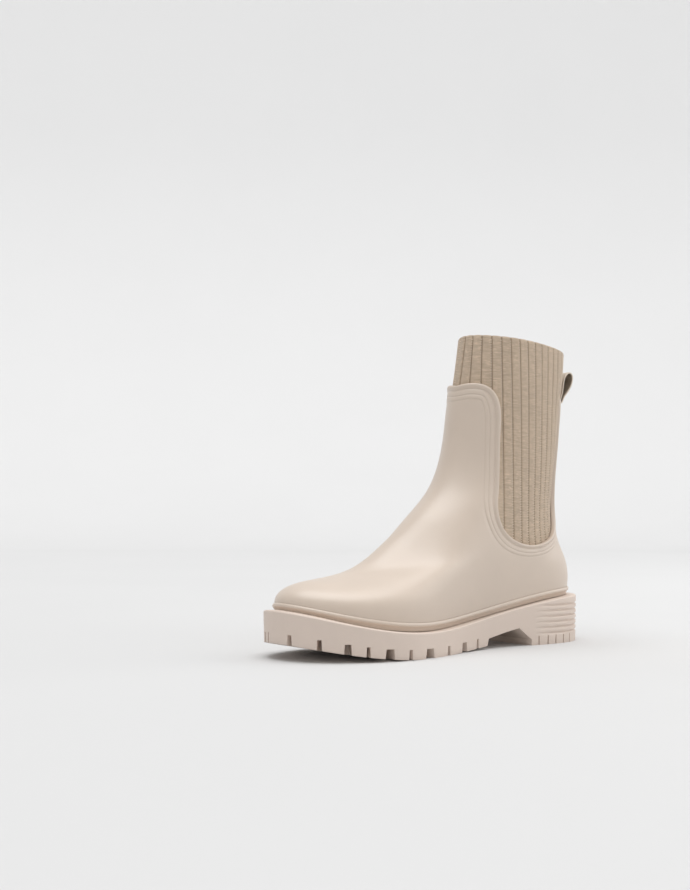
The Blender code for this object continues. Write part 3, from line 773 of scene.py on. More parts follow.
def uv_parts(tree):
    both = node(tree, "ShaderNodeUVMap", uv_map="cloth").outputs["UV"]
    parts = node(tree, "ShaderNodeSeparateXYZ", {"Vector": both})
    return parts.outputs["X"], parts.outputs["Y"]


def material(name, values):
    """A new material with plain values set on its shader."""
    made = bpy.data.materials.new(name)
    made.use_nodes = True
    shader = made.node_tree.nodes["Principled BSDF"]
    for label, value in values.items():
        shader.inputs[label].default_value = value
    return made, made.node_tree, shader


def bump(tree, shader, height, distance):
    made = node(tree, "ShaderNodeBump", {"Height": height, "Strength": 1.0, "Distance": distance})
    tree.links.new(made.outputs["Normal"], shader.inputs["Normal"])


def rubber(name, color, roughness, coat, grain):
    """Moulded rubber: a fine grain, slow changes of tone and gloss, and a few faint rubs."""
    gloss = {"Specular IOR Level": 0.85, "Coat Weight": coat, "Coat Roughness": 0.42}
    made, tree, shader = material(name, gloss)
    place = place_of(tree)
    slow = noise(tree, place, 11.0, 3.0)
    cloud = noise(tree, place, 60.0, 4.0, 0.6)
    fine = noise(tree, place, 1900.0)
    speck = noise(tree, place, 520.0, 3.0, 0.7)
    streak = noise(tree, place_of(tree, (1.0, 0.35, 2.2)), 95.0, 5.0, 0.75)
    rub = ramp(tree, streak, 0.62, 0.74)
    tone = total(tree, sway(tree, slow, 0.018), sway(tree, cloud, 0.010),
                 ramp(tree, speck, 0.66, 0.80, 0.0, -0.020), times(tree, rub, 0.018))
    paint(tree, shader, (*color, 1.0), tone)
    rough = total(tree, sway(tree, cloud, 0.035), roughness, times(tree, rub, 0.06))
    tree.links.new(rough, shader.inputs["Roughness"])
    height = total(tree, times(tree, fine, 0.6), times(tree, speck, 0.8), times(tree, cloud, 2.2))
    bump(tree, shader, height, grain)
    return made


def knit_yarn(name, rib_color, groove_shade_color):
    """Rib knit: fine courses across the ribs, slubs in the yarn, and painted shade darkening the grooves
    between the ribs.
    """
    soft = {"Roughness": 0.92, "Specular IOR Level": 0.25, "Sheen Weight": 0.22, "Sheen Roughness": 0.5}
    made, tree, shader = material(name, soft)
    across, along = uv_parts(tree)
    rib = maths(tree, 'FLOOR', across)
    # groove masks the grooves between the ribs, where the darker colour is painted shade
    groove = ramp(tree, maths(tree, 'PINGPONG', across, 0.5), 0.03, 0.13, 1.0, 0.0)
    own = node(tree, "ShaderNodeTexWhiteNoise", {"W": rib}, noise_dimensions='1D').outputs["Value"]

    def stretched(wide, tall, apart):
        """Place on the cloth, stretched, and different from rib to rib."""
        return vector(tree, times(tree, across, wide), times(tree, along, tall), times(tree, rib, apart))

    slub = noise(tree, stretched(1.1, 620.0, 3.7), 1.0, 3.0, 0.62)
    dash = noise(tree, stretched(2.3, 1050.0, 5.1), 1.0, 1.0)
    place = place_of(tree)
    patch = noise(tree, place, 30.0)
    wander = noise(tree, place, 260.0)
    fuzz = noise(tree, place, 2600.0)
    course = total(tree, times(tree, along, math.tau / COURSE_PITCH), times(tree, wander, 5.0))
    course = maths(tree, 'SINE', course)
    wale = maths(tree, 'SINE', times(tree, across, math.tau * WALES))
    tone = total(tree, sway(tree, slub, 0.11, 0.28, 0.72), sway(tree, own, 0.018, 0.0, 1.0),
                 sway(tree, patch, 0.020), times(tree, course, 0.045), sway(tree, fuzz, 0.03, 0.2, 0.8),
                 ramp(tree, dash, 0.56, 0.70, -0.03, 0.19))
    paint(tree, shader, mixed(tree, groove, (*rib_color, 1.0), (*groove_shade_color, 1.0)), tone)
    height = total(tree, times(tree, course, 0.55), times(tree, wale, 0.22), times(tree, slub, 1.1),
                   times(tree, fuzz, 0.7))
    bump(tree, shader, height, 0.00013)
    return made


def woven(name, color, pitch, sheen):
    """Woven cloth or tape: threads over and under at the pitch, with uneven yarn."""
    soft = {"Roughness": 0.88, "Specular IOR Level": 0.3, "Sheen Weight": sheen}
    made, tree, shader = material(name, soft)
    warp, weft = [maths(tree, 'SINE', times(tree, part, math.tau / pitch)) for part in uv_parts(tree)]
    weave = times(tree, warp, weft)
    uneven = noise(tree, place_of(tree), 900.0, 3.0, 0.6)
    patch = noise(tree, place_of(tree), 90.0)
    tone = total(tree, times(tree, weave, 0.045), sway(tree, uneven, 0.04, 0.25, 0.75),
                 sway(tree, patch, 0.02))
    paint(tree, shader, (*color, 1.0), tone)
    bump(tree, shader, total(tree, weave, times(tree, uneven, 0.8)), 0.0001)
    return made


def thread(name, color):
    made, tree, shader = material(name, {"Roughness": 0.8})
    strand = noise(tree, place_of(tree), 3000.0)
    paint(tree, shader, (*color, 1.0), ramp(tree, strand, 0.3, 0.7, -0.06, 0.05))
    bump(tree, shader, strand, 0.00004)
    return made


def crease_height(w, v):
    """Height of the troughs and ridges at points of the form."""
    points = form(w, v)
    raised = np.zeros(points.shape[:-1])
    for *stops, width, height in CREASES:
        curve = natural([0, 1, 2], stops)(np.linspace(0, 2, CREASE_POINTS))
        line = form(curve[:, 0], curve[:, 1])
        fade = np.sin(np.linspace(0, math.pi, len(line))) ** CREASE_FADE
        gaps = np.stack([np.linalg.norm(points - p, axis=-1) for p in line])
        bells = fade.reshape((-1,) + (1,) * (gaps.ndim - 1)) * np.exp(-(gaps / (width * MM)) ** 2)
        raised += height * MM * bells.max(0)
    return raised


def eased(values):
    """Each place on a closed line drawn a little towards its two neighbours."""
    return values + EDGE_EASE * sum(wrapped(np.roll(values, step) - values) for step in (1, -1))


def edge_lines(distances):
    """Lines beside the rubber's edge, as w and v, at distances given in any order."""
    w, v = trim_line(UPPER_COUNTS)
    corner = UPPER_COUNTS[0]
    near = np.arange(len(w))
    near = np.minimum(np.abs(near - corner), np.abs(len(w) - near - corner))
    share = band_share(UPPER_COUNTS) * (1 - CORNER_DIP * np.exp(-(near / CORNER_COLUMNS) ** 2))
    found = {}
    done = 0.0
    for distance in sorted(set(distances)):
        steps = math.ceil((distance - done) / EDGE_STRIDE)
        for _ in range(steps):
            w, v = step_across(w, v, share * (distance - done) / steps)
            w = eased(w)
            v = eased(v)
        found[distance] = (w, v)
        done = distance
    return [np.array([found[d][part] for d in distances]) for part in (0, 1)]


def build_upper(materials):
    """Closed rubber shell: edge with its bead and lines, front panel, back strip, foot and inner wall."""
    shape = Shape()

    def both_faces(w, v, outer, closed):
        outer = outer + crease_height(w, v)
        shape.grid(skin(w, v, outer), closed)
        shape.grid(skin(w, v, outer - RUBBER_WALL), closed, skin_index=1)

    def fill(left, right, top):
        """Both faces between two sides, a top edge and a straight bottom line, which is handed back."""
        bottom = np.linspace(left[0], right[0], len(top))
        w, v = np.moveaxis(coons(left, right, bottom, top), -1, 0)
        both_faces(w, v, 0.0, False)
        return bottom

    profile = np.array(EDGE_ROWS) * MM
    w, v = edge_lines(profile[:, 0].tolist())
    shape.grid(skin(w, v, profile[:, 1:] + crease_height(w, v)), True)
    edge = np.stack([w[-1], v[-1]], -1)
    w, v = edge_lines((np.array(INNER_ROWS) * MM).tolist())
    shape.grid(skin(w, v, crease_height(w, v) - RUBBER_WALL), True, skin_index=1)
    corner, foot, strip_foot, strip_corner = np.cumsum(UPPER_COUNTS)[:-1]
    mirror = len(edge) - np.arange(len(edge) + 1)

    # The front panel has w counted on past 1 on the inner side
    whole_turn = np.array((WHOLE_TURN, 0.0))
    inner = edge + whole_turn
    front_line = fill(edge[corner:foot + 1][::-1], inner[mirror[corner:foot + 1]][::-1],
                      np.r_[edge[:corner + 1][::-1], inner[mirror[1:corner + 1]]])
    back_bottom = fill(edge[strip_foot:strip_corner + 1], edge[mirror[strip_foot:strip_corner + 1]],
                       edge[strip_corner:mirror[strip_corner] + 1])

    # Foot, from the panel, the side openings and the strip down to the sole
    half = (len(front_line) - 1) // 2
    line = np.r_[front_line[half::-1], edge[foot + 1:strip_foot], back_bottom,
                 edge[mirror[strip_foot - 1:foot:-1]], front_line[:half:-1] - whole_turn]
    step_top = WELT_HEIGHT + 2 * CLEARANCE + REBATE_STEP
    last = level_over_ledge(line[:, 0], step_top)
    fall = spaced(1, 0, FOOT_ROWS)[:, None] ** FOOT_CROWD
    heights = [step_top - share * REBATE_STEP for share, _ in REBATE_ROWS] + [WELT_HEIGHT / 2, CLEARANCE]
    depths = [depth for _, depth in REBATE_ROWS] + [1.0, 1.0]
    below = [level_over_ledge(line[:, 0], height)[None] for height in heights]
    v = np.vstack([last + (line[:, 1] - last) * fall] + below)
    w = np.broadcast_to(line[:, 0], v.shape)
    both_faces(w, v, -REBATE_DEPTH * np.r_[np.zeros(FOOT_ROWS + 1), depths][:, None], True)
    ends = np.array([[0.0], [-RUBBER_WALL]]) - REBATE_DEPTH
    shape.grid(skin(w[-1:].repeat(2, 0), v[-1:].repeat(2, 0), ends + crease_height(w[-1], v[-1])), True)
    return shape.piece("rubber_upper", materials)


def build_welt(materials):
    """Moulded strip between the ledge and the upper, its top edge a bead."""
    w = spaced(-1, 1, WELT_COLUMNS)[:-1]
    rows = []
    for offset, height in np.array(WELT_ROWS) * MM:
        points = skin(w, level_over_ledge(w, height), offset)
        points[:, 2] = ledge_under(points) + height
        rows.append(points)
    shape = Shape()
    shape.grid(np.array(rows), True, True)
    return shape.piece("welt_strip", materials)


def floor_under(station):
    """Height that the sole's lower rows stand on, smooth through the arch."""
    ease = np.clip((station - BREAST_SHARE) / (TREAD_BACK_SHARE - BREAST_SHARE), 0, 1)
    return tread(np.maximum(station, TREAD_BACK_SHARE)) * ease * ease * (3 - 2 * ease)


def sole_columns():
    """Places round the sole, clear of the notches' edges."""
    w = spaced(0, 1, SOLE_COLUMNS // 2)
    clear = np.ones(len(w), bool)
    notches = [(abs(t), BALL_WIDTH * share) for t, share in NOTCHES + [INNER_NOTCH]]
    notches += [(t, HEEL_NOTCH_WIDTH) for t in HEEL_NOTCHES]
    for side in (1, -1):
        for turn, width in notches:
            ends, _ = sole_edge(side * np.array([turn - PACE_STEP, turn + PACE_STEP]))
            speed = np.linalg.norm(ends[1] - ends[0]) / (2 * PACE_STEP)
            gap = np.abs(w - turn) * speed
            for share in (1, NOTCH_TOP_SHARE):
                clear &= np.abs(gap - share * width / 2) > NOTCH_CLEAR
    clear[[0, -1]] = True
    w = w[clear]
    return np.r_[-w[::-1], w[1:-1]]


def add_ladder(shape, ring):
    """Close a ring of the sole with faces across it, from the heel to the toe."""
    half = len(ring) // 2
    shape.grid(np.stack([ring[half::-1], np.vstack([ring[half:], ring[:1]])]))


def build_sole(materials):
    w = sole_columns()
    station = station_of(np.abs(w))
    floor = floor_under(station)
    top = ledge(station) - LEDGE_ROUND
    depth = HEEL_LEDGE + OUTSIDE
    first = GROOVE_START + GROOVE_ROWS[0][0] * MM
    highest = GROOVE_START + (GROOVE_COUNT - 1) * GROOVE_PITCH + GROOVE_ROWS[-1][0] * MM
    squeeze = np.minimum(1, (top - floor - first - GROOVE_CLEAR) / (highest - first))
    full, drop, power = HEEL_GROOVE_FADE
    fade = np.clip(full - drop * np.abs(w / GROOVE_END_SHARE) ** power, 0, full)
    rows = []

    def add_row(z, deep=0.0):
        inset = SOLE_TAPER * (depth - z) / (depth + OUTSIDE) + deep
        plan, _ = sole_edge(w, inset)
        rows.append(np.column_stack([plan, z]))

    def grooved(height):
        """Height among the grooves, pressed together where the wall is low."""
        return floor + first + (height - first) * squeeze

    for height in LOW_ROWS:
        add_row(floor + height)
    for index in range(GROOVE_COUNT):
        middle = GROOVE_START + index * GROOVE_PITCH
        for across, share in GROOVE_ROWS:
            add_row(grooved(middle + across * MM), GROOVE_DEPTH * share * fade)
        if index < GROOVE_COUNT - 1:
            add_row(grooved(middle + GROOVE_PITCH / 2))
    base = grooved(highest)
    for share in UPPER_SHARES:
        add_row(base + (top - base) * share)
    for turned in np.radians(LEDGE_TURNS):
        add_row(top + LEDGE_ROUND * math.sin(turned), LEDGE_ROUND * (1 - math.cos(turned)))
    for reach in LEDGE_REACH:
        add_row(ledge(station), LEDGE_ROUND + reach)
    shape = Shape()
    shape.grid(np.array(rows), True)
    add_ladder(shape, rows[0])
    add_ladder(shape, rows[-1])
    body = shape.piece("sole", materials)
    cutters = []

    def cut_away(mesh, name):
        bmesh.ops.translate(mesh, verts=mesh.verts, vec=STEP)
        bmesh.ops.recalc_face_normals(mesh, faces=mesh.faces)
        data = bpy.data.meshes.new(name)
        mesh.to_mesh(data)
        mesh.free()
        cutters.append(as_object(name, data, materials))
        modifier = body.modifiers.new(name, 'BOOLEAN')
        modifier.operation = 'DIFFERENCE'
        modifier.solver = 'EXACT'
        modifier.object = cutters[-1]

    over = OUTSIDE / SOLE_LENGTH
    below = -4 * OUTSIDE
    line = [(-over, 0.0), (BREAST_SHARE, 0.0), (BREAST_SHARE, HEEL_LIFT)]
    line += [(s, HEEL_LEDGE * h) for s, h in ARCH]
    tread_stations = np.r_[spaced(TREAD_BACK_SHARE, TREAD_FLAT_SHARE, TREAD_STEPS),
                           spaced(SPRING_START_SHARE, 1 + over, SPRING_STEPS)]
    line += [(s, float(tread(s))) for s in tread_stations]
    line += [(1 + over, below), (-over, below)]
    stations, heights = np.array(line).T
    cut_away(solid_between(*[at(x, stations, heights) for x in (-BALL_WIDTH, BALL_WIDTH)]), "underside")

    blocks = bmesh.new()
    for turn, width in NOTCHES + [(-t, share) for t, share in NOTCHES] + [INNER_NOTCH]:
        add_notch(blocks, turn, BALL_WIDTH * width, NOTCH_DEPTH, NOTCH_HEIGHT)
    for turn in HEEL_NOTCHES + [-t for t in HEEL_NOTCHES]:
        add_notch(blocks, turn, HEEL_NOTCH_WIDTH, HEEL_NOTCH_DEPTH, NOTCH_HEIGHT)
    for place, length in SLOTS:
        middle = at(0.0, place, floor_at(place))
        add_block(blocks, middle, (1, 0), length * BALL_WIDTH, SLOT_WIDTH, SLOT_DEPTH)
    cut_away(blocks, "notches")
    evaluated_mesh(body)
    for cutter in cutters:
        bpy.data.objects.remove(cutter)
    soften_lugs(body)
    return body


def soften_lugs(body):
    """Round the outer edges of the lugs."""
    plan, _ = sole_edge(spaced(-1, 1, LUG_POINTS))
    tree = kdtree.KDTree(len(plan))
    for index, (x, y) in enumerate(plan):
        tree.insert((x + STEP.x, y + STEP.y, 0.0), index)
    tree.balance()
    mesh = bmesh.new()
    mesh.from_mesh(body.data)
    bmesh.ops.dissolve_degenerate(mesh, dist=LUG_JOIN, edges=mesh.edges)
    weights = mesh.edges.layers.float.new("bevel_weight_edge")

    def outer(vert):
        x, y, z = vert.co
        lowest = float(floor_under(np.array(0.5 - (y - STEP.y) / SOLE_LENGTH)))
        return tree.find((x, y, 0.0))[2] < LUG_REACH and z < lowest + LUG_TOP

    for edge in mesh.edges:
        sharp = len(edge.link_faces) == 2 and edge.calc_face_angle() > math.radians(LUG_SHARP)
        if sharp and outer(edge.verts[0]) and outer(edge.verts[1]):
            edge[weights] = 1.0
    mesh.to_mesh(body.data)
    mesh.free()
    round_off = body.modifiers.new("round_off", 'BEVEL')
    round_off.limit_method = 'WEIGHT'
    round_off.width = SOLE_BEVEL
    round_off.segments = BEVEL_STEPS
    evaluated_mesh(body)
    body.data.shade_smooth()
    body.data.set_sharp_from_angle(angle=math.radians(LUG_SMOOTH))


def rib_turns(count):
    """Turn of each rib, with a whole number of ribs round the shaft, counted from the heel."""
    ring = spaced(0, 1, FINE_RING)
    length = lengths(skin(ring, RIB_COUNT_LEVEL, KNIT_FACE))
    half = RIBS / 2
    ahead = RIB_SHIFT * (1 - (2 * np.abs(count) / half - 1) ** RIB_SHIFT_POWER)
    return np.sign(count) * np.interp(np.abs(count) + ahead, length / length[-1] * half, ring)


def rib_lines(count):
    """Turn of each rib line by level. A line stays in the upright plane square to the collar at its top."""
    w = rib_turns(count)
    along, _ = slopes(w, RIB_PLANE_LEVEL)
    top = form(w, 1.0)[..., :2]
    sideways = unit(along[..., :2])
    table = []
    for level in spaced(1, RIB_LOWEST, RIB_LEVELS):
        v = min(level, RIB_TOP_LEVEL)
        for _ in range(RIB_ROUNDS):
            along, _ = slopes(w, v)
            miss = ((form(w, v)[..., :2] - top) * sideways).sum(-1)
            pace = (along[..., :2] * sideways).sum(-1)
            pace = np.where(np.abs(pace) < RIB_LEAST_PACE, RIB_LEAST_PACE, pace)
            w = w - np.clip(miss / pace, -RIB_LONGEST_STEP, RIB_LONGEST_STEP)
        table.append(w)
    return np.array(table)


def along_ribs(table, v):
    """Turn of each column's rib line at levels v."""
    place = np.clip((1 - v) / (1 - RIB_LOWEST) * RIB_LEVELS, 0, RIB_LEVELS)
    low = np.minimum(place.astype(int), RIB_LEVELS - 1)
    part = place - low
    column = np.arange(v.shape[-1])
    return table[low, column] * (1 - part) + table[low + 1, column] * part


def rib_ends(table):
    """Level at which each rib line comes to the knit's hem."""
    levels = spaced(1, RIB_LOWEST, RIB_LEVELS)
    rows = np.array(KNIT_HEM)
    over = rise_of(form(table, levels[:, None])) - natural(rows[:, 0], rows[:, 1])(np.abs(wrapped(table)))
    below = np.argmax(over < 0, 0)
    column = np.arange(table.shape[1])
    before = over[below - 1, column]
    part = before / (before - over[below, column])
    return levels[below - 1] + (levels[below] - levels[below - 1]) * part


def new_tree(name, sizes):
    """An empty geometry tree with a named input for each size."""
    tree = bpy.data.node_groups.new(name, 'GeometryNodeTree')
    tree.interface.new_socket("Geometry", in_out='INPUT', socket_type='NodeSocketGeometry')
    for label in sizes:
        tree.interface.new_socket(label, in_out='INPUT', socket_type='NodeSocketFloat')
    tree.interface.new_socket("Geometry", in_out='OUTPUT', socket_type='NodeSocketGeometry')
    return tree, tree.nodes.new("NodeGroupInput").outputs


def end_tree(tree, geometry, skin_material):
    whole = wire(tree, "GeometryNodeRealizeInstances", {"Geometry": geometry})
    painted = wire(tree, "GeometryNodeSetMaterial", {"Geometry": whole, "Material": skin_material})
    node(tree, "NodeGroupOutput", {0: painted})
    return tree


def named(tree, name, kind='FLOAT'):
    """An attribute of the mesh."""
    return node(tree, "GeometryNodeInputNamedAttribute", {"Name": name}, data_type=kind).outputs["Attribute"]


def grow(body, tree, sizes):
    """Run a geometry tree on an object and keep its result as a plain mesh."""
    modifier = body.modifiers.new(tree.name, 'NODES')
    modifier.node_group = tree
    for item in tree.interface.items_tree:
        if item.item_type == 'SOCKET' and item.in_out == 'INPUT' and item.name in sizes:
            modifier[item.identifier] = sizes[item.name]
    evaluated_mesh(body)


def rib_tree(skin_material):
    """Pushes a smooth tube in along the grooves between its ribs and out along their crowns."""
    tree, inputs = new_tree("ribs", ["Depth", "Groove", "Crown"])
    gap = maths(tree, 'PINGPONG', named(tree, "rib"), 0.5)
    wall = ramp(tree, gap, 0.0, inputs["Groove"], -1.0, 0.0)
    sink = times(tree, times(tree, wall, named(tree, "deep")), inputs["Depth"])
    bulge = times(tree, maths(tree, 'SINE', times(tree, gap, math.pi)), inputs["Crown"])
    normal = wire(tree, "GeometryNodeInputNormal")
    push = wire(tree, "ShaderNodeVectorMath", {0: normal, "Scale": total(tree, sink, bulge)},
                operation='SCALE')
    moved = wire(tree, "GeometryNodeSetPosition", {"Geometry": inputs["Geometry"], "Offset": push})
    return end_tree(tree, moved, skin_material)


def build_knit(skin_material):
    """Tube of knit, folded over at the collar, its columns along the ribs."""
    count = np.concatenate([k + np.array(RIB_COLUMNS) for k in range(-RIBS // 2, RIBS // 2)])
    table = rib_lines(count)
    hem = rib_ends(table)
    radius = KNIT_WALL / 2
    fold = radius / RISE
    rows = [(hem + (1 - fold - hem) * share, KNIT_FACE) for share in spaced(0, 1, KNIT_OUTER_ROWS)]
    for angle in spaced(0, math.pi, KNIT_FOLD_STEPS)[1:-1]:
        level = 1 - fold + fold * math.sin(angle)
        rows.append((level + 0 * hem, KNIT_FACE - radius + radius * math.cos(angle)))
    rows += [(hem + (1 - fold - hem) * share, KNIT_FACE - KNIT_WALL)
             for share in spaced(1, 0, KNIT_INNER_ROWS)]
    v = np.array([level for level, _ in rows])
    points = skin(along_ribs(table, v), v, np.array([offset for _, offset in rows])[:, None])
    along = lengths(points)
    along = along[KNIT_OUTER_ROWS + KNIT_FOLD_STEPS // 2] - along
    deep = 1 - RIB_FOLD_SHARE * np.exp(-(along / RIB_FOLD_REACH) ** 2)
    along = np.hstack([np.vstack([along, along[:1]]), np.r_[along[:, 0], along[0, 0]][:, None]])
    across = np.broadcast_to(np.r_[count, RIBS / 2], along.shape)
    shape = Shape()
    shape.grid(points, True, True, uv=np.stack([across, along], -1))
    marks = {"rib": np.broadcast_to(count, v.shape), "deep": deep}
    body = shape.piece("ribbed_knit_shaft", [skin_material], marks)
    grow(body, rib_tree(skin_material), {"Depth": RIB_DEPTH, "Groove": RIB_GROOVE, "Crown": RIB_CROWN})
    return body


def stitch_tree(skin_material):
    """Short threads along lines, leaning to one side and the other by turns."""
    tree, inputs = new_tree("groove_stitches", ["Pitch", "Long", "Wide", "Tilt"])
    curve = wire(tree, "GeometryNodeMeshToCurve", {"Mesh": inputs["Geometry"]})
    evened = {"Curve": curve, "Length": inputs["Pitch"]}
    evened = wire(tree, "GeometryNodeResampleCurve", evened, mode='LENGTH')
    tangent = wire(tree, "GeometryNodeInputTangent")
    axes = {0: named(tree, "outwards", 'FLOAT_VECTOR'), 1: tangent}
    facing = wire(tree, "FunctionNodeAxesToRotation", axes,
                  primary_axis='Z', secondary_axis='X')
    odd = maths(tree, 'MODULO', wire(tree, "GeometryNodeInputIndex"), 2.0)
    lean = times(tree, maths(tree, 'MULTIPLY_ADD', odd, 2.0, -1.0), inputs["Tilt"])
    turned = wire(tree, "FunctionNodeEulerToRotation", {0: vector(tree, z=lean)})
    facing = wire(tree, "FunctionNodeRotateRotation", {0: facing, 1: turned}, rotation_space='LOCAL')
    bead = wire(tree, "GeometryNodeMeshIcoSphere", {"Radius": 1.0, "Subdivisions": 1})
    bead = wire(tree, "GeometryNodeSetShadeSmooth", {0: bead})
    size = vector(tree, inputs["Long"], inputs["Wide"], inputs["Wide"])
    setting = {"Points": evened, "Instance": bead, "Rotation": facing, "Scale": size}
    return end_tree(tree, wire(tree, "GeometryNodeInstanceOnPoints", setting), skin_material)


def build_stitches(skin_material):
    """Threads down the front side of each groove, above the rubber's edge."""
    trim = np.array(TRIM)[::-1]
    counts = np.array([k + math.copysign(STITCH_ASIDE, k) for k in range(-RIBS // 2 + 1, RIBS // 2)])
    v = spaced(*STITCH_LEVELS)[:, None] + np.zeros(len(counts))
    w = along_ribs(rib_lines(counts), v)
    edge_rise = np.interp(np.abs(wrapped(w)), trim[:, 0], trim[:, 1])
    hidden = rise_of(form(w, v)) < edge_rise - STITCH_HIDDEN
    points = []
    outwards = []
    edges = []
    for column in range(len(counts)):
        shown = int(np.argmax(hidden[:, column]))
        ring = w[:shown, column]
        levels = v[:shown, column]
        base = skin(ring, levels, KNIT_FACE - STITCH_SINK)
        edges += [(len(points) + i, len(points) + i + 1) for i in range(shown - 1)]
        points += (base + np.array(STEP)).tolist()
        outwards += unit(skin(ring, levels, 0.0) - base).tolist()
    data = bpy.data.meshes.new("groove_stitches")
    data.from_pydata(points, edges, [])
    layer = data.attributes.new("outwards", 'FLOAT_VECTOR', 'POINT')
    layer.data.foreach_set("vector", np.array(outwards, np.float32).ravel())
    body = as_object("groove_stitches", data)
    sizes = {"Pitch": STITCH_PITCH, "Long": STITCH_LONG, "Wide": STITCH_WIDE, "Tilt": STITCH_TILT}
    grow(body, stitch_tree(skin_material), sizes)
    return body


def build_insole(materials):
    """Footbed with a rounded edge."""
    inset = -(REBATE_DEPTH + RUBBER_WALL + CLEARANCE)
    turns = spaced(*FOOTBED_TURNS)
    shares, lifts = np.array(FOOTBED_ROWS).T
    outer, inner = [skin(t, level_over_ledge(t, CLEARANCE), inset) for t in (turns, -turns)]
    points = outer[:, None] + (inner - outer)[:, None] * shares[:, None]
    points[..., 2] = ledge_under(points) + CLEARANCE + INSOLE_THICKNESS * lifts
    shape = Shape()
    flat = points[:, :, :2]
    shape.grid(points, True, uv=np.concatenate([flat, flat[:, :1]], 1))
    half = len(shares) // 2
    for ring in (points[0], points[-1]):
        shape.grid(np.stack([ring[:half], ring[:half - 1:-1]]))
    return shape.piece("footbed", materials)


def build_loop(materials):
    """Folded tape loop on the back strip, with painted shade on the middle of its inner face."""
    rows = np.array(TAPE_LOOP)
    count = len(rows)
    rounds = np.vstack([rows[-LOOP_OVERLAP:], rows, rows[:LOOP_OVERLAP]])
    knots = np.arange(-LOOP_OVERLAP, count + LOOP_OVERLAP)
    path = natural(knots, rounds)(spaced(0, count, LOOP_FINE_STEPS)[:-1])
    centre = path * (LOOP_REACH, LOOP_HEIGHT)
    ahead = np.roll(centre, -1, 0) - np.roll(centre, 1, 0)
    side = unit(np.stack([ahead[:, 1], -ahead[:, 0]], -1)) * TAPE_THICKNESS / 2
    top_z = HEEL_LEDGE + RISE * TRIM[-1][1]
    root_z = top_z + LOOP_HEIGHT * rows[:, 1].min()
    across = np.sin(spaced(-0.5, 0.5, LOOP_ACROSS) * math.pi) / 2
    thin = np.maximum(1 - np.abs(2 * across) ** LOOP_EDGE_POWER, LOOP_EDGE_LEAST) ** 0.5
    top_line = back_line(top_z)(across * TAPE_WIDTH)
    root_line = back_line(root_z)(across * TAPE_WIDTH)
    up = (1 - LOOP_CURL) * np.clip(centre[:, 1] / LOOP_HEIGHT, 0, 1)[:, None]
    down = np.clip(centre[:, 1] / (root_z - top_z), 0, 1)[:, None]
    y = top_line + (top_line.max() - top_line) * up + (root_line - top_line) * down
    y = y + BAND_RELIEF + 2 * CLEARANCE
    faces = []
    for sign in (1, -1):
        x = np.broadcast_to(across * TAPE_WIDTH, y.shape)
        faces.append(np.stack([x, y + centre[:, :1] + sign * side[:, :1] * thin,
                               top_z + centre[:, 1:] + sign * side[:, 1:] * thin + 0 * y], -1))
    length = lengths(np.vstack([centre, centre[:1]]))
    uv = np.stack(np.broadcast_arrays(across * TAPE_WIDTH, length[:, None]), -1)
    shape = Shape()
    inside, outside = faces
    shape.grid(outside, False, True, uv=uv)
    stops = [0, LOOP_RIM, LOOP_ACROSS - LOOP_RIM, LOOP_ACROSS]
    # The middle of the inner face takes the darker tape colour, painted shade for the inside of the loop;
    # the rims keep the plain tape
    for index, first, last in zip((0, 1, 0), stops, stops[1:]):
        strip = np.s_[:, first:last + 1]
        shape.grid(inside[strip], False, True, uv=uv[strip], skin_index=index)
    for edge in (0, -1):
        shape.grid(np.stack([inside[:, edge], outside[:, edge]]), True)
    return shape.piece("pull_loop_tape", materials)


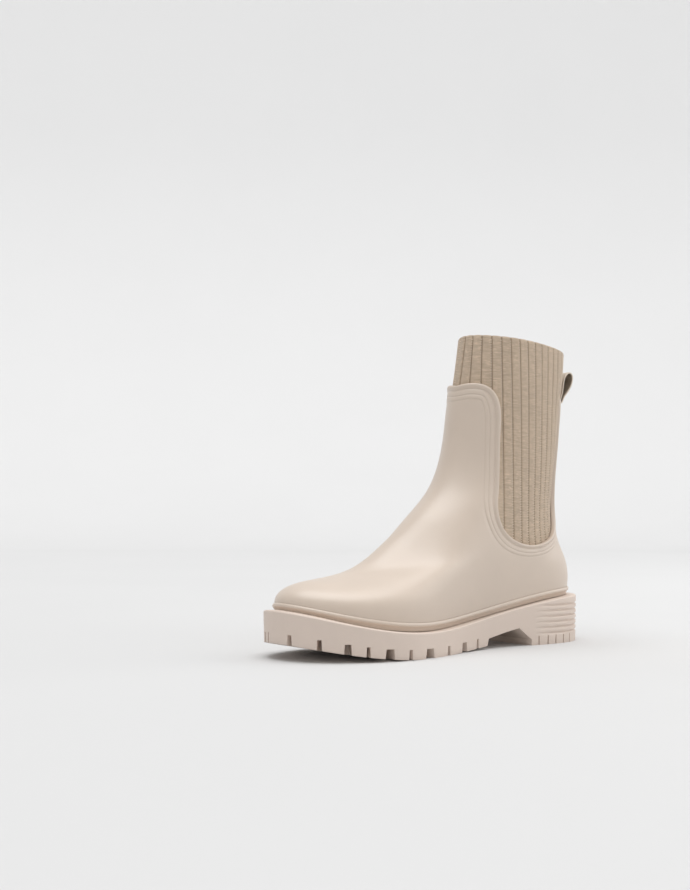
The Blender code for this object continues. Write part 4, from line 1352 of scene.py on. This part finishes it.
def build_stage():
    """Pale floor that rises behind the boot in one wide curve and glows softly where it has turned up."""
    along = [(STAGE_FRONT, 0.0)] + [(s, 0.0) for s in spaced(STAGE_NEAR, STAGE_BACK, STAGE_STEPS)]
    along += [(STAGE_BACK + STAGE_CURVE * math.sin(a), STAGE_CURVE * (1 - math.cos(a)))
              for a in spaced(0, math.pi / 2, STAGE_STEPS)[1:]]
    along.append((STAGE_BACK + STAGE_CURVE, STAGE_TOP))
    ahead = Vector(CAMERA_AHEAD).to_2d().normalized()
    right = Vector((ahead.y, -ahead.x))
    points = []
    for distance, height in along:
        for reach in (-STAGE_TOP, STAGE_TOP):
            spot = ahead * distance + right * reach
            points.append((spot.x, spot.y, height))
    faces = [(2 * i, 2 * i + 1, 2 * i + 3, 2 * i + 2) for i in range(len(along) - 1)]
    data = bpy.data.meshes.new("studio_floor")
    data.from_pydata(points, [], faces)
    data.shade_smooth()
    mark = data.attributes.new("turned", 'FLOAT', 'POINT')
    share = np.clip((np.array(along)[:, 0] - STAGE_BACK) / STAGE_CURVE, 0, 1)
    mark.data.foreach_set("value", np.repeat(share, 2).astype(np.float32))
    dull = {"Roughness": 0.9, "Specular IOR Level": 0.2, "Emission Color": (1.0, 1.0, 1.0, 1.0)}
    made, tree, shader = material("pale_studio_paper", dull)
    paint(tree, shader, (*STAGE_TONE, 1.0), sway(tree, noise(tree, place_of(tree), 3.0), 0.005))
    turned = node(tree, "ShaderNodeAttribute", attribute_name="turned").outputs["Fac"]
    tree.links.new(times(tree, turned, STAGE_GLOW), shader.inputs["Emission Strength"])
    as_object("studio_floor", data, [made])


def aim(body, place, ahead):
    body.location = place
    body.rotation_euler = ahead.to_track_quat('-Z', 'Y').to_euler()


def add_lamp(name, kind, place, target, power, settings):
    data = bpy.data.lights.new(name, kind)
    data.energy = power
    for key, value in settings.items():
        setattr(data, key, value)
    aim(as_object(name, data), Vector(place), Vector(target) - Vector(place))


def light_up():
    world = bpy.data.worlds.new("studio")
    world.use_nodes = True
    background = world.node_tree.nodes["Background"]
    background.inputs["Color"].default_value = (1.0, 1.0, 1.0, 1.0)
    background.inputs["Strength"].default_value = WORLD_LIGHT
    bpy.context.scene.world = world
    for lamp in LAMPS:
        add_lamp(*lamp)
    scene = bpy.context.scene
    scene.view_settings.view_transform = 'Standard'
    scene.view_settings.look = 'None'


def set_camera():
    data = bpy.data.cameras.new("photo_camera")
    data.sensor_width = SENSOR
    data.lens = CAMERA_LENS
    camera = as_object("photo_camera", data)
    aim(camera, Vector(CAMERA_PLACE) + STEP, Vector(CAMERA_AHEAD))
    bpy.context.scene.camera = camera


def main():
    upper_rubber = rubber("satin_rubber", RUBBER_TONE, 0.43, 0.45, 0.000022)
    sole_rubber = rubber("sole_rubber", SOLE_TONE, 0.56, 0.0, 0.000030)
    knit = knit_yarn("rib_knit_yarn", RIB_TONE, GROOVE_SHADE_TONE)
    tape = woven("loop_tape", TAPE_TONE, TAPE_PITCH, 0.3)
    # Darker copy of the tape: painted shade for the inside of the loop
    tape_painted_shade = woven("loop_tape_painted_shade", TAPE_PAINTED_SHADE_TONE, TAPE_PITCH, 0.1)
    lining = woven("lining_cloth", LINING_TONE, LINING_PITCH, 0.2)
    light_thread = thread("pale_thread", THREAD_TONE)
    settle(build_upper([upper_rubber, lining]), "upper")
    settle(build_welt([upper_rubber]), "welt")
    settle(build_sole([sole_rubber]), "outsole")
    settle(build_knit(knit), "knit_shaft")
    settle(build_stitches(light_thread), None)
    settle(build_insole([lining]), "insole")
    settle(build_loop([tape, tape_painted_shade]), "pull_loop")
    build_stage()
    light_up()
    set_camera()


main()
